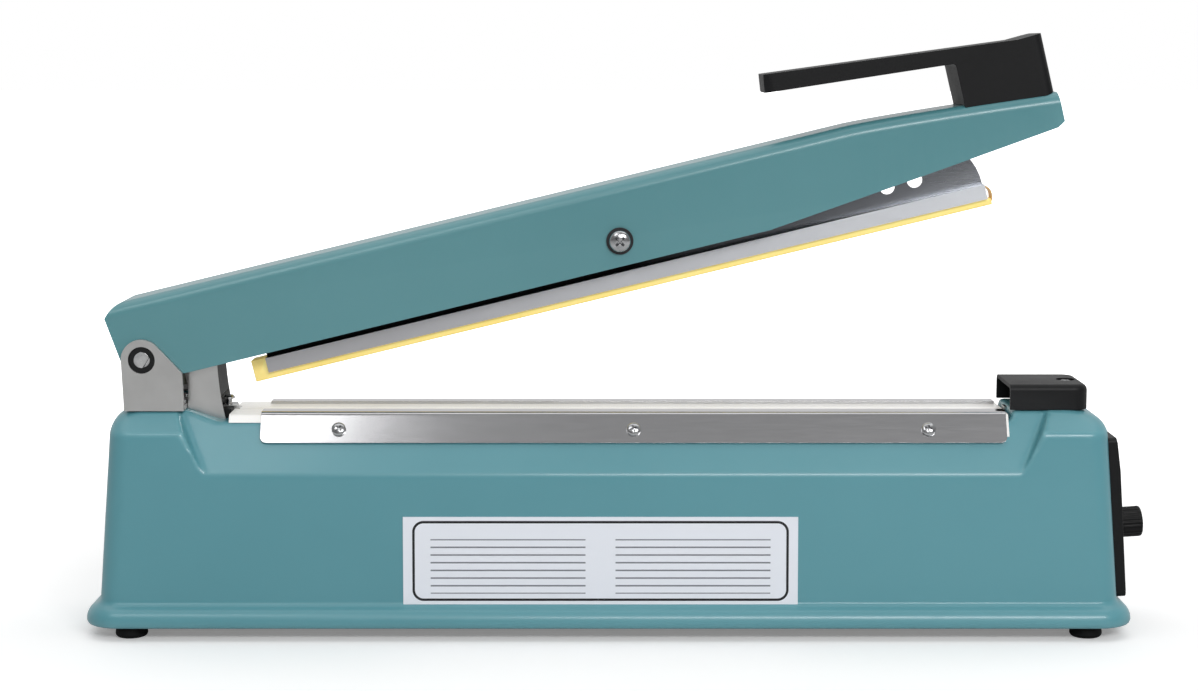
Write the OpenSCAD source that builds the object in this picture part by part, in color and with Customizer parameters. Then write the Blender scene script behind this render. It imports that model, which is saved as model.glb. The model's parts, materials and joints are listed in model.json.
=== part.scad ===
// Hand impulse bag sealer with a 300 mm seal, arm held open by its spring.
// Millimetres, +Z up, +X from the hinge to the control panel, front face towards -Y.
// The origin lies on the surface that the sealer stands on, under the middle of its whole outline.

/* [Housing] */
// Length of the seal beam, which sets the length of the housing and the arm
beam_l = 317; // [200:1:420]
// Length of the housing from the beam's end to the hinge end of the skirt
hinge_end_l = 58; // [56:0.5:62]
// Length of the housing from the beam's end to the panel end of the skirt
panel_end_l = 47; // [46:0.5:52]
// Depth of the housing over its skirt
base_d = 76; // [72:1:90]
// Height of the raised ends above the standing surface
base_top = 90.5; // [89:0.5:94]
// Thickness of the housing's cast wall
wall = 2.4; // [1.8:0.1:3.2]
// How far the skirt stands out from the walls
skirt_out = 5.6; // [4:0.1:7]
// Height of the skirt from its lower edge to the wall
skirt_h = 8.5; // [6:0.1:9]
// Draft of the end walls in degrees
end_draft = 4; // [0:0.5:6]
// Draft of the front and rear walls in degrees
side_draft = 3; // [0:0.5:5]
// Plan radius of the housing's corners
corner_r = 9; // [6:0.5:12]
// Height of the shoulder where the walls turn in to the raised ends
shoulder_z = 82.5; // [79:0.5:84]
// Half of the depth of the flat top of the raised ends
top_half_d = 18.5; // [18:0.1:20]
// How far the hinge end's rounding draws in
left_round = 7.5; // [5:0.5:9]
// How far the panel end's rounding draws in
right_round = 12; // [8:0.5:14]

/* [Lowered middle] */
// Height of the ridge that carries the seal beam
ridge_top = 86; // [84:0.1:86.5]
// Half of the ridge's width at its top
ridge_half = 18.5; // [17.5:0.1:19]
// Height of the lower edge of the sloped sides
slope_foot_z = 66; // [60:0.5:70]
// How far the slanted ends of the sloped sides lean outward up to the top
slope_lean = 11.7; // [8:0.1:16]
// Distance from the beam's end to the foot of the top's step beside the hinge
step_gap = 4.6; // [4:0.1:6]
// Distance along the housing over which the top steps down beside the hinge
step_run = 13.4; // [12:0.1:14]

/* [Underside] */
// Height of the rubber feet
foot_h = 5; // [4:0.5:8]
// Diameter of the rubber feet
foot_d = 13; // [11:0.5:16]
// Distance of the feet from the ends of the skirt
foot_in_x = 18.5; // [17:0.5:30]
// Distance of the feet from the front and rear of the skirt
foot_in_y = 11; // [10.5:0.1:12]
// Thickness of the bottom plate
plate_t = 1.2; // [0.8:0.1:1.6]
// Diameter of the screws that hold the feet and the bottom plate
foot_screw_d = 3.5; // [3:0.5:4]

/* [Seal beam] */
// Height of the beam above the ridge
beam_h = 2.6; // [2:0.1:3]
// Width of the heating element band
element_w = 4; // [2:0.5:8]
// Thickness of the heating element band
element_t = 0.15; // [0.1:0.05:0.2]
// Thickness of the release cloth over the beam
cloth_t = 0.25; // [0.2:0.05:0.3]
// Thickness of the clamp strips
strip_t = 1.2; // [1:0.1:1.5]
// Width of the clamp strips' sloped face
strip_w = 12.5; // [10:0.5:15]
// Width of the clamp strips' lip over the beam
strip_lip = 7; // [4:0.5:9]
// Diameter of the clamp strips' screws
strip_screw_d = 3; // [2.5:0.5:4]
// Screws along each clamp strip
strip_screws = 3; // [2:1:5]

/* [Hinge] */
// Distance of the hinge pin from the beam's end
pin_back = 34.4; // [34:0.1:35]
// Diameter of the hinge pin
pin_d = 6.4; // [5:0.1:7]
// Diameter of the holes in the bracket's ears
ear_hole_d = 10.8; // [10:0.1:12]
// Radius of the ears' round tops
ear_r = 8.3; // [7:0.1:9]
// Thickness of the hinge bracket's sheet
bracket_t = 2; // [1.5:0.1:2]
// Length of the bracket along the housing
bracket_l = 24; // [22:0.5:25]
// Angle that the arm opens to in degrees
open_angle = 13.65; // [8:0.05:16]
// Gap left under the pressure bar when the arm is down
closed_gap = 1.2; // [1.2:0.1:2]
// Radial clearance of each running fit
run_gap = 0.05; // [0.03:0.01:0.1]

/* [Arm] */
// How far the arm reaches past the beam
arm_out = 29.1; // [26:0.1:32]
// Width of the arm
arm_w = 35; // [34:0.1:35]
// Thickness of the arm's wall
arm_t = 2.2; // [1.8:0.1:2.6]
// Height of the arm's top above the pin's axis
arm_up = 24.3; // [22:0.1:26]
// Depth of the arm's lower edge below the pin's axis
arm_down = 9.4; // [8:0.1:10]
// Radius of the arm's long top edges
arm_edge_r = 5; // [2:0.5:7]
// Length of the arm's front stretch whose top falls
arm_fall_l = 83.5; // [70:0.5:100]
// How far the top falls towards the front end
arm_fall = 6.6; // [3:0.1:8]

/* [Handle] */
// Length of the handle from the grip's tip to its front
handle_l = 112; // [100:1:125]
// Length of the block that stands on the arm
block_l = 36; // [30:1:44]
// Thickness of the grip
grip_t = 7.3; // [6:0.1:9]
// Width of the handle
handle_w = 35; // [30:0.5:36]
// Height of the handle's front top edge above the pin's axis, arm closed
handle_up = 41.8; // [38:0.2:46]
// Rise of the grip towards its tip in degrees
grip_rise = 5.8; // [3:0.1:8]
// Width of the bevels along the grip's top
grip_bevel = 4; // [2:0.5:6]

/* [Pressure bar] */
// Height of the centre screw's axis above the pin's axis, arm closed
rock_up = 1.2; // [0:0.1:3]
// Diameter of the centre screw
rock_screw_d = 6; // [4:0.5:6]
// Depth of the rubber's working face below the pin's axis, arm closed
face_down = 20.9; // [20:0.1:22]
// How far the rubber stands out of its channel
rubber_out = 2.7; // [2:0.1:3.5]
// Height of the rubber's channel
channel_h = 6; // [5:0.5:7]
// Width of the rubber's channel
channel_w = 14; // [12:0.5:14]
// Thickness of the channel's sheet
channel_t = 1.4; // [1:0.1:1.6]
// Thickness of the bar's upright web
web_t = 2; // [1.5:0.5:3]
// Height of the web above the channel
web_h = 20; // [18:0.5:22]
// Diameter of the two holes near the web's front end
web_hole_d = 6.4; // [4:0.2:7]

/* [Terminal cover] */
// Length of the terminal cover
cover_l = 30.4; // [28:0.2:32]
// Depth of the terminal cover across the housing
cover_d = 34; // [30:0.5:36]
// Height of the terminal cover
cover_h = 10.2; // [9:0.1:12]
// Thickness of the terminal cover's wall
cover_t = 1.6; // [1.2:0.1:2]

/* [Control panel] */
// Height of the timer knob's axis where it meets the end wall
knob_z = 40.5; // [36:0.5:44]
// Diameter of the timer knob
knob_d = 12.6; // [11:0.1:16]
// Length of the timer knob
knob_l = 12; // [10:0.5:14]
// Thickness of the control panel
panel_t = 4; // [3:0.1:5]
// Width of the control panel
panel_w = 39; // [30:0.5:39]
// Height of the control panel
panel_h = 60; // [56:0.5:62]
// Diameter of the timer's shaft
shaft_d = 6; // [4:0.5:6]

/* [Label] */
// Length of the bare label plate
label_l = 158; // [120:1:180]
// Height of the bare label plate
label_h = 35.5; // [30:0.5:38]
// Thickness of the bare label plate
label_t = 0.4; // [0.2:0.1:0.6]

/* [Hidden] */

// Shared values
over = 1;              // overrun of every cut past the face that it leaves
seat_gap = 0.1;        // radial clearance of screws in their holes
slide_gap = 0.3;       // gap between moving neighbours
fit_gap = 0.3;         // gap round a plate let into another piece
fine = 48;             // facets of true round features, which come out as exact rounds
teal = "cadetblue";
steel = "silver";
black = "#1c1c1e";

// Lengths along the housing, worked out from the beam
base_l = hinge_end_l + beam_l + panel_end_l;
beam_x = (hinge_end_l - panel_end_l) / 2;
beam_left = beam_x - beam_l / 2;
beam_right = beam_x + beam_l / 2;
step_x = step_gap - beam_left;
pin_x = pin_back - beam_left;
strip_in_left = 11.5;  // the clamp strips start this far in from the beam's hinge end
strip_in_right = 2.5;
strip_l = beam_l - strip_in_left - strip_in_right;
strip_x = beam_x + (strip_in_left - strip_in_right) / 2;
slope_out_left = 8.9;  // the sloped sides reach this far past the beam at the hinge end
slope_out_right = 1.1;
slope_l = beam_l + slope_out_left + slope_out_right;
slope_mid = beam_x + (slope_out_right - slope_out_left) / 2;
channel_in_left = 11.8;    // the pressure bar's channel starts this far in from the beam's end
channel_in_right = 5.8;
channel_l = beam_l - channel_in_left - channel_in_right;
channel_x = pin_back + channel_in_left;
rock_off = 1.8;        // the centre screw lies this far past the channel's middle
rock_x = channel_x + channel_l / 2 + rock_off;
arm_l = pin_back + beam_l + arm_out;
arm_fall_x = arm_l - arm_fall_l;

// Housing, worked out
wall_half_l = base_l / 2 - skirt_out;
wall_half_d = base_d / 2 - skirt_out;
skirt_z = foot_h + skirt_h;
nose_share = 0.26;     // where the skirt is widest, as a share of its height
nose_z = foot_h + skirt_h * nose_share;
lip_r = 1;             // small radius along the skirt's lower edge
corner_steps = 6;
nose_steps = 5;
shoulder_shares = [0.12, 0.35, 0.6, 0.82, 0.95, 1];

function wall_x(z) = wall_half_l - (z - skirt_z) * tan(end_draft);
function wall_y(z) = wall_half_d - (z - skirt_z) * tan(side_draft);

// Whole outline, worked out: the knob reaches past the skirt at one end, and the origin is centred on both
knob_air = 0.4;
knob_reach = (panel_t + knob_air + knob_l) * cos(end_draft) + knob_d / 2 * sin(end_draft);
knob_tip = wall_x(knob_z) + knob_reach;
base_x = -(knob_tip - base_l / 2) / 2;

// Arm, worked out
cloth_top = ridge_top + beam_h + element_t + cloth_t;
pin_z = cloth_top + closed_gap + face_down;
arm_half = arm_w / 2;
inner_half = arm_half - arm_t;
ear_in = arm_half + slide_gap;
ear_out = ear_in + bracket_t;
rear_lean = 2.1;       // how far the arm's rear wall leans back up to its corner
rear_r = 8.6;          // radius of the arm's lower rear corner about the pin
rear_corner_share = 0.8;
rear_turns = [180, 260];   // from where to where the lower rear corner turns, in degrees
rear_corner_z = arm_up * rear_corner_share;
nose_up = 4.4;         // height of the front end of the lower edge above the pin's axis
curve_l = 123.5;       // length of the front stretch whose lower edge curves up
curve_pull_up = 8.4;   // how strongly it curves, as a height above the arm's lower edge
curve_foot_up = 1.4;   // rise of the lower edge up to where it starts to curve
nose_turn = 1.8;
nose_r = 3;

// Pressure bar, worked out, in the arm's frame
channel_foot = -face_down + rubber_out;
channel_top = channel_foot + channel_h;
rubber_half = channel_w / 2 - channel_t - 0.2 * rubber_out;
rubber_left = 6.3;     // how far the rubber reaches past the channel at the hinge end
rubber_right = 1.6;    // how far it reaches past the channel at the front end
web_top = channel_top + web_h;
web_round_l = 21;      // size of the rounded front corner of the web, along and up
web_round_h = 15;
web_holes_back = [37.6, 26.2];   // places of the two holes, back from the channel's front end
web_hole_down = 4.3;   // depth of the two holes' axis below the pin's axis

// Slope of the housing's middle
slope_rise = ridge_top - slope_foot_z;
slope_run = wall_y(slope_foot_z) - ridge_half;
slope_angle = atan(slope_rise / slope_run);
end_air = 1.5;         // air between the beam's front end and the step of the housing

// Seal beam, worked out
beam_half = ridge_half - beam_h / tan(slope_angle);

// Corner of the beam's top and its bevel in Y and Z, or that corner of a layer of the depth given over both
function beam_edge(depth = 0) = [-beam_half - depth * tan(slope_angle / 2), ridge_top + beam_h + depth];

// A closed solid through a stack of rings of as many points each, lowest first, seen from above
// anticlockwise.
module loft(rings) {
    n = len(rings[0]);
    last = len(rings) - 1;
    points = [for (ring = rings) each ring];
    sides = [for (i = [0 : last - 1], j = [0 : n - 1])
        let (a = i * n + j, b = i * n + (j + 1) % n, c = b + n, d = a + n)
        each [[a, c, b], [a, d, c]]];
    foot = [[for (j = [0 : n - 1]) j]];
    head = [[for (j = [n - 1 : -1 : 0]) last * n + j]];
    polyhedron(points = points, faces = concat(sides, foot, head), convexity = 8);
}

// An arc of points about a centre
function arc(centre, r, from, to, steps) =
    [for (i = [0 : steps]) let (a = from + (to - from) * i / steps) centre + r * [cos(a), sin(a)]];

// A quadratic curve between two points, drawn towards a third
function curve(p, pull, q, steps) =
    [for (i = [0 : steps]) let (t = i / steps) (1 - t) * (1 - t) * p + 2 * t * (1 - t) * pull + t * t * q];

// A profile drawn in X and Z, given width along Y about the middle
module across(width) {
    rotate([90, 0, 0]) linear_extrude(width, center = true) children();
}

// A profile drawn in Y and Z, given length along X
module along(length) {
    rotate([90, 0, 90]) linear_extrude(length, center = true) children();
}

// A round rod or bore along Y
module rod_y(d, from, to) {
    translate([0, from, 0]) rotate([-90, 0, 0]) cylinder(d = d, h = to - from, $fn = fine);
}

// Places a piece by the middle of the housing
module at_base() {
    translate([base_x, 0, 0]) children();
}

// Places a piece drawn in the closed arm's frame, whose origin is the hinge pin's axis
module on_arm() {
    translate([base_x - pin_x, 0, pin_z]) rotate([0, -open_angle, 0]) children();
}

// Places a piece on the panel end's wall, X outward along the timer's axis, Z up the wall
module on_panel() {
    at_base()
        translate([wall_x(knob_z), 0, knob_z]) rotate([0, -end_draft, 0]) children();
}

// A cross-recess pan-head screw, head up, its seat at the origin
module pan_screw(d, length, head_share = 1.9, rise_share = 0.6) {
    head_r = d * head_share / 2;
    rise = d * rise_share;
    slot_w = d * 0.3;
    difference() {
        union() {
            translate([0, 0, -length]) cylinder(d = d, h = length + rise / 3, $fn = fine);
            cylinder(r = head_r, h = rise / 2, $fn = fine);
            translate([0, 0, rise / 2])
                cylinder(r1 = head_r, r2 = head_r * 0.72, h = rise / 2, $fn = fine);
        }
        for (turn = [0, 90])
            rotate([0, 0, turn]) translate([-head_r * 0.6, -slot_w / 2, rise / 2])
                cube([head_r * 1.2, slot_w, rise]);
    }
}

// A hexagon nut with its seat at the origin
module hex_nut(d, height, flats_share = 1.75) {
    difference() {
        cylinder(d = d * flats_share / cos(30), h = height, $fn = 6);
        translate([0, 0, -over])
            cylinder(d = d + 2 * seat_gap, h = height + 2 * over, $fn = fine);
    }
}

// One level of the housing: a rectangle with round corners, its two ends set apart
function level(z, left, right, half_d, r) =
    [for (k = [0 : 3], i = [0 : corner_steps])
        let (a = 90 * k + 90 * i / corner_steps,
             cx = (k == 0 || k == 3) ? right - r : r - left,
             cy = k < 2 ? half_d - r : r - half_d)
        [cx + r * cos(a), cy + r * sin(a), z]];

// The housing's whole form, set in from its outer surface by the amount given
module housing_form(inset = 0) {
    foot_z = inset > 0 ? foot_h - over : foot_h;
    lip = inset > 0 ? 0 : lip_r;
    top_z = base_top - inset;
    turn_z = shoulder_z - inset / 3;
    nose = [for (i = [0 : nose_steps])
        let (a = 90 * i / nose_steps, out = skirt_out * cos(a), z = nose_z + (skirt_z - nose_z) * sin(a))
        level(z, wall_half_l + out - inset, wall_half_l + out - inset, wall_half_d + out - inset,
              corner_r + out - inset)];
    head = [for (s = concat([0], shoulder_shares))
        let (z = turn_z + (top_z - turn_z) * s, curl = 1 - sqrt(1 - s * s * 0.98))
        level(z, wall_x(turn_z) - inset - left_round * curl, wall_x(turn_z) - inset - right_round * curl,
              wall_y(turn_z) - inset - (wall_y(turn_z) - top_half_d) * s, corner_r - inset - lip_r * s)];
    rings = concat(
        [level(foot_z, base_l / 2 - lip - inset, base_l / 2 - lip - inset, base_d / 2 - lip - inset,
               corner_r + skirt_out - lip - inset),
         level(foot_h + lip_r, base_l / 2 - inset, base_l / 2 - inset, base_d / 2 - inset,
               corner_r + skirt_out - inset)],
        nose, head);
    difference() {
        loft(rings);
        across(base_d + 2 * over)
            offset(delta = inset)
                polygon([[-step_x - step_run - step_run * over / (base_top - ridge_top), base_top + over],
                         [-step_x, ridge_top], [beam_right + end_air, ridge_top],
                         [beam_right + end_air, base_top + over]]);
        both_sides()
            slope_cut(inset);
    }
}

// A piece and its mirror image on the rear side
module both_sides() {
    children();
    mirror([0, 1, 0]) children();
}

// What the sloped front takes off the housing, between its two slanted ends
module slope_cut(inset) {
    half_l = slope_l / 2;
    lean = slope_lean * (base_top + over - slope_foot_z) / (base_top - slope_foot_z);
    shift = inset / sin(slope_angle);
    outer = base_d;
    top = [-ridge_half + slope_run / 2, ridge_top + slope_rise / 2];
    foot = [-ridge_half - slope_run * 3 / 2, slope_foot_z - slope_rise / 2];
    intersection() {
        translate([slope_mid, 0, 0]) across(base_d + 2 * over)
            offset(delta = inset)
                polygon([[-half_l, slope_foot_z], [half_l, slope_foot_z],
                         [half_l + lean, base_top + over], [-half_l - lean, base_top + over]]);
        along(base_l)
            polygon([foot + [shift, 0], top + [shift, 0], [-outer, top[1]], [-outer, foot[1]]]);
    }
}

function foot_places() =
    [for (x = [-1, 1], y = [-1, 1]) [x * (base_l / 2 - foot_in_x), y * (base_d / 2 - foot_in_y)]];

// Inlet of the mains lead, low in the rear wall near the panel
inlet_in = 61;          // how far in it lies from the panel end of the skirt
inlet_x = base_l / 2 - inlet_in;
inlet_z = 30;
inlet_d = 12;
inlet_bore_d = 7;

// Screws of the hinge bracket, from the bracket's middle
ear_foot_in = 0.8;     // how far the ear's rear edge leans in down to its foot
ear_slope_share = 0.74;
ear_turns = [48, 180];     // from where to where the ear's top turns, in degrees
bracket_mid_x = -pin_x - ear_r + ear_foot_in + bracket_l / 2;
bracket_screw_d = 4;
bracket_screw_x = 8;
bracket_screw_y = 11;
boss_d = 9;
boss_h = 12;
lamp_w = 11;
lamp_h = 8;
timer_bush_d = 7;
lamp_z = 27;
switch_in = 9.5;        // distance of the switch's plunger from the hinge pin
switch_x = switch_in - pin_x;
plunger_d = 3.2;

module base_shell() {
    color(teal) at_base() difference() {
        union() {
            difference() {
                housing_form();
                housing_form(wall);
            }
            for (p = foot_places())
                translate([p[0], p[1], foot_h + plate_t])
                    cylinder(d = boss_d, h = boss_h, $fn = fine);
        }
        for (p = foot_places())
            translate([p[0], p[1], foot_h])
                cylinder(d = foot_screw_d + 2 * seat_gap, h = boss_h - plate_t, $fn = fine);
        bracket_holes();
        translate([switch_x, 0, ridge_top])
            cylinder(d = plunger_d + 4 * slide_gap, h = base_top - ridge_top + over, $fn = fine);
        translate([spring_x, 0, ridge_top - wall - over])
            cylinder(d = guard_screw_d + 2 * seat_gap, h = base_top, $fn = fine);
        both_sides()
            strip_screw_places()
                translate([0, 0, -strip_screw_l])
                    cylinder(d = strip_screw_d + 2 * seat_gap, h = 2 * strip_screw_l, $fn = fine);
        lead_holes();
        translate([cover_screw_x, 0, base_top - wall - over])
            cylinder(d = cover_screw_d + 2 * seat_gap, h = base_top, $fn = fine);
        at_inlet() cylinder(d = inlet_d, h = 4 * wall, center = true, $fn = fine);
        translate([wall_x(knob_z), 0, knob_z]) rotate([0, -end_draft, 0])
            panel_openings(2 * wall);
    }
}

module panel_openings(depth) {
    rotate([0, 90, 0]) translate([0, 0, -depth])
        cylinder(d = timer_bush_d + 2 * seat_gap, h = 2 * depth, $fn = fine);
    translate([-depth, -lamp_w / 2 + wall / 2, lamp_z - lamp_h / 2 + wall / 2])
        cube([2 * depth, lamp_w - wall, lamp_h - wall]);
}

module bracket_holes() {
    for (x = [-1, 1], y = [-1, 1])
        translate([bracket_mid_x + x * bracket_screw_x, y * bracket_screw_y, ridge_top - wall])
            cylinder(d = bracket_screw_d + 2 * seat_gap, h = base_top, $fn = fine);
}

// Two holes for the screws of the heating element's terminals
module lead_holes() {
    for (x = terminal_xs)
        translate([x, 0, ridge_top - 2 * wall])
            cylinder(d = terminal_screw_d + 2 * seat_gap, h = base_top, $fn = fine);
}

vent_l = 34;
vent_w = 3;
vent_pitch = 7;
vents = 9;
vent_in = 121;          // distance of the vents and the transformer from the hinge end of the skirt
vent_x = vent_in - base_l / 2;

module bottom_plate() {
    out = -lip_r - wall - fit_gap;
    color("#8d9294") at_base() difference() {
        translate([0, 0, foot_h]) linear_extrude(plate_t)
            hull()
                for (p = [[1, 1], [1, -1], [-1, 1], [-1, -1]])
                    translate([p[0] * (base_l / 2 - corner_r - skirt_out),
                               p[1] * (base_d / 2 - corner_r - skirt_out)])
                        circle(r = corner_r + skirt_out + out, $fn = 32);
        for (p = foot_places())
            translate([p[0], p[1], 0])
                cylinder(d = foot_screw_d + 2 * seat_gap, h = 2 * foot_h, $fn = fine);
        for (i = [0 : vents - 1])
            translate([vent_x + (i - (vents - 1) / 2) * vent_pitch - vent_w / 2, -vent_l / 2, 0])
                cube([vent_w, vent_l, 2 * foot_h]);
        for (x = frame_screw_xs, y = [-1, 1])
            translate([x, y * frame_screw_y, 0])
                cylinder(d = frame_screw_d + 2 * seat_gap, h = 2 * foot_h, $fn = fine);
    }
}

foot_recess_d = 8;
foot_recess_h = 2.6;
foot_edge_r = 1.6;

module rubber_feet() {
    r = foot_d / 2;
    color(black) at_base()
        for (p = foot_places())
            translate([p[0], p[1], 0])
                rotate_extrude($fn = fine)
                    polygon(concat([[foot_recess_d / 2, 0]],
                                   arc([r - foot_edge_r, foot_edge_r], foot_edge_r, -90, 0, 6),
                                   [[r - foot_edge_r / 4, foot_h],
                                    [foot_screw_d / 2 + seat_gap, foot_h],
                                    [foot_screw_d / 2 + seat_gap, foot_recess_h],
                                    [foot_recess_d / 2, foot_recess_h]]));
}

module foot_screws() {
    color(steel) at_base()
        for (p = foot_places())
            translate([p[0], p[1], foot_recess_h]) rotate([180, 0, 0])
                pan_screw(foot_screw_d, foot_h + boss_h / 2, 1.8);
}

// The beam's section, wider at its foot, drawn in Y and Z
module seal_beam() {
    color("#c9ccd0") at_base() translate([beam_x, 0, 0]) along(beam_l)
        polygon([[-ridge_half, ridge_top], [ridge_half, ridge_top],
                 [beam_half, ridge_top + beam_h], [-beam_half, ridge_top + beam_h]]);
}

module heating_element() {
    color("#8f8b84") at_base() translate([beam_x, 0, ridge_top + beam_h + element_t / 2])
        cube([beam_l, element_w, element_t], center = true);
}

cloth_slope_share = 0.36;  // how much of the clamp strip the cloth lies under

// The release cloth: over the element, down the beam's bevels and under the clamp strips
module release_cloth() {
    flat = ridge_top + beam_h;
    down = strip_w * cloth_slope_share * [-cos(slope_angle), -sin(slope_angle)];
    band = element_w / 2 + element_t;
    step = band + 2 * element_t;
    under = [[0, flat + element_t], [-band, flat + element_t], [-step, flat], beam_edge(), beam_edge() + down];
    over_it = [beam_edge(cloth_t) + down, beam_edge(cloth_t), [-step, flat + cloth_t],
               [-band, flat + element_t + cloth_t], [0, flat + element_t + cloth_t]];
    color("#e8e6df") at_base() translate([beam_x, 0, 0])
        both_sides() along(beam_l) polygon(concat(under, over_it));
}

strip_corner_r = 2.6;  // round lower corners of the clamp strips
strip_bend_steps = 5;
strip_screw_l = 6;
strip_screw_share = 0.55;
strip_span_share = 0.8;

// Puts a piece on the front slope: X along the housing, Y up the slope, Z out of it
module on_slope() {
    translate([0, beam_edge()[0], beam_edge()[1]]) rotate([slope_angle, 0, 0]) children();
}

module strip_screw_places() {
    for (i = [0 : strip_screws - 1])
        on_slope()
            translate([strip_x + strip_l * (i / (strip_screws - 1) - 0.5) * strip_span_share,
                       -strip_w * strip_screw_share, cloth_t + strip_t])
                children();
}

// A clamp strip: a face on the slope with round lower corners, bent over into a lip on the beam
module clamp_strip() {
    half = strip_l / 2;
    r = strip_corner_r;
    inner = beam_edge(cloth_t);
    outer = beam_edge(cloth_t + strip_t);
    lip_end = [inner[0] + strip_lip, inner[1]];
    below = strip_t * [-cos(slope_angle), -sin(slope_angle)];
    normal = strip_t * [-sin(slope_angle), cos(slope_angle)];
    turn = cloth_t * tan(slope_angle / 2) - strip_t;
    difference() {
        union() {
            on_slope() translate([strip_x, 0, cloth_t]) linear_extrude(strip_t)
                polygon(concat([[-half, turn]],
                               arc([r - half, r - strip_w], r, 180, 270, 6),
                               arc([half - r, r - strip_w], r, 270, 360, 6),
                               [[half, turn]]));
            translate([strip_x, 0, 0]) along(strip_l)
                polygon(concat([inner + below, inner, lip_end, lip_end + [0, strip_t]],
                               curve(outer + [strip_t, 0], outer, inner + normal + below,
                                     strip_bend_steps)));
        }
        strip_screw_places()
            translate([0, 0, -2 * strip_t])
                cylinder(d = strip_screw_d + 2 * seat_gap, h = 3 * strip_t, $fn = fine);
    }
}

module front_clamp_strip() {
    color(steel) at_base() clamp_strip();
}

module rear_clamp_strip() {
    color(steel) at_base() mirror([0, 1, 0]) clamp_strip();
}

module clamp_screws() {
    color("#b9bcc0") at_base()
        both_sides()
            strip_screw_places()
                pan_screw(strip_screw_d, strip_screw_l);
}

// Outline of one ear in X and Z, about the hinge pin's axis
function ear_outline() =
    let (foot = base_top + bracket_t / 2 - pin_z, right = bracket_l - ear_r + ear_foot_in,
         high = foot * (1 - ear_slope_share))
    concat([[-ear_r + ear_foot_in, foot], [right, foot], [right - ear_foot_in / 2, high]],
           arc([0, 0], ear_r, ear_turns[0], ear_turns[1], 14));

module hinge_bracket() {
    foot = base_top + bracket_t / 2 - pin_z;
    right = bracket_l - ear_r + ear_foot_in;
    color("#b4b4b6") at_base() translate([-pin_x, 0, pin_z]) difference() {
        union() {
            for (side = [-1, 1])
                translate([0, side * (ear_in + bracket_t / 2), 0]) across(bracket_t)
                    polygon(ear_outline());
            translate([-ear_r + ear_foot_in, -ear_out, base_top - pin_z])
                cube([right + ear_r - ear_foot_in, 2 * ear_out, bracket_t]);
        }
        rod_y(ear_hole_d, -ear_out - over, ear_out + over);
        translate([pin_x, 0, -pin_z]) bracket_holes();
        translate([pin_x + switch_x, 0, foot - over - bracket_t])
            cylinder(d = plunger_d + 4 * slide_gap, h = 4 * bracket_t, $fn = fine);
    }
}

module bracket_screws() {
    color("#9a9da0") at_base()
        for (x = [-1, 1], y = [-1, 1])
            translate([bracket_mid_x + x * bracket_screw_x, y * bracket_screw_y, base_top + bracket_t])
                pan_screw(bracket_screw_d, bracket_t + wall + bracket_screw_d);
}

bush_recess = 0.7;     // how deep the ears' bushes lie below their outer faces

// Black bushes pressed into the ears, which carry the pin
module ear_bushes() {
    color(black) at_base() translate([-pin_x, 0, pin_z])
        both_sides()
                difference() {
                    rod_y(ear_hole_d, ear_in, ear_out - bush_recess);
                    rod_y(pin_d, ear_in - over, ear_out + over);
                }
}

pin_flat_share = 0.62;

// The pin, with a slanted flat filed on each end
module hinge_pin() {
    r = pin_d / 2;
    color("#c3c2bd") at_base() translate([-pin_x, 0, pin_z]) difference() {
        rod_y(pin_d, -ear_out + bush_recess / 2, ear_out - bush_recess / 2);
        both_sides()
                rotate([0, 32, 0]) translate([r * pin_flat_share, ear_in, -pin_d])
                    cube([pin_d, ear_out, 2 * pin_d]);
    }
}

clip_t = 1;

// Spring clips on the pin, inside the arm's walls
module pin_clips() {
    color(steel) at_base() translate([-pin_x, 0, pin_z])
        both_sides()
                difference() {
                    rod_y(pin_d * 1.6, inner_half - bush_flange - slide_gap - clip_t,
                          inner_half - bush_flange - slide_gap);
                    rod_y(pin_d + 2 * run_gap, 0, ear_out);
                    translate([0, inner_half - bush_flange - 2 * clip_t - slide_gap, -pin_d * 0.36])
                        cube([pin_d, 3 * clip_t, pin_d * 0.72]);
                }
}

bush_flange = 1;
bush_d = 10;

// Flanged bushes in the arm's walls, which turn on the pin
module arm_bushes() {
    color("#d9d6c8") on_arm()
        both_sides()
                difference() {
                    union() {
                        rod_y(bush_d, inner_half, arm_half);
                        rod_y(bush_d + 3 * bush_flange, inner_half - bush_flange, inner_half);
                    }
                    rod_y(pin_d + 2 * run_gap, 0, ear_out);
                }
}

guard_half = 11;       // outer half width of the sheet guard round the return spring
guard_t = 1.4;
guard_lean_share = 0.6;
guard_up = 10;         // height of the guard's top above the pin's axis
guard_left = -step_x - step_run + fit_gap;
guard_floor_z = base_top + fit_gap;
guard_foot_out = 2.2;  // how far the guard's front reaches past the foot of the step
floor_l = 12.2;
spring_wire_d = 1.4;
spring_r = 4;
spring_turns = 9;
spring_x = guard_left + spring_r + spring_wire_d / 2;
guard_screw_d = 3;
block_h = 5.6;         // height of the rear terminal block above the ridge
terminal_t = 1.2;
terminal_screw_d = 2.5;
mouth_h = block_h + terminal_t + terminal_screw_d + fit_gap;   // height of the guard's opening for the block

// Outer front edge of the guard from its foot to its top, in X and Z
function guard_front() =
    curve([guard_foot_out - step_x, ridge_top], [-step_x - guard_foot_out / 2, (ridge_top + pin_z) / 2],
          [-step_x - guard_foot_out * guard_lean_share, pin_z + guard_up], 8);

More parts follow.
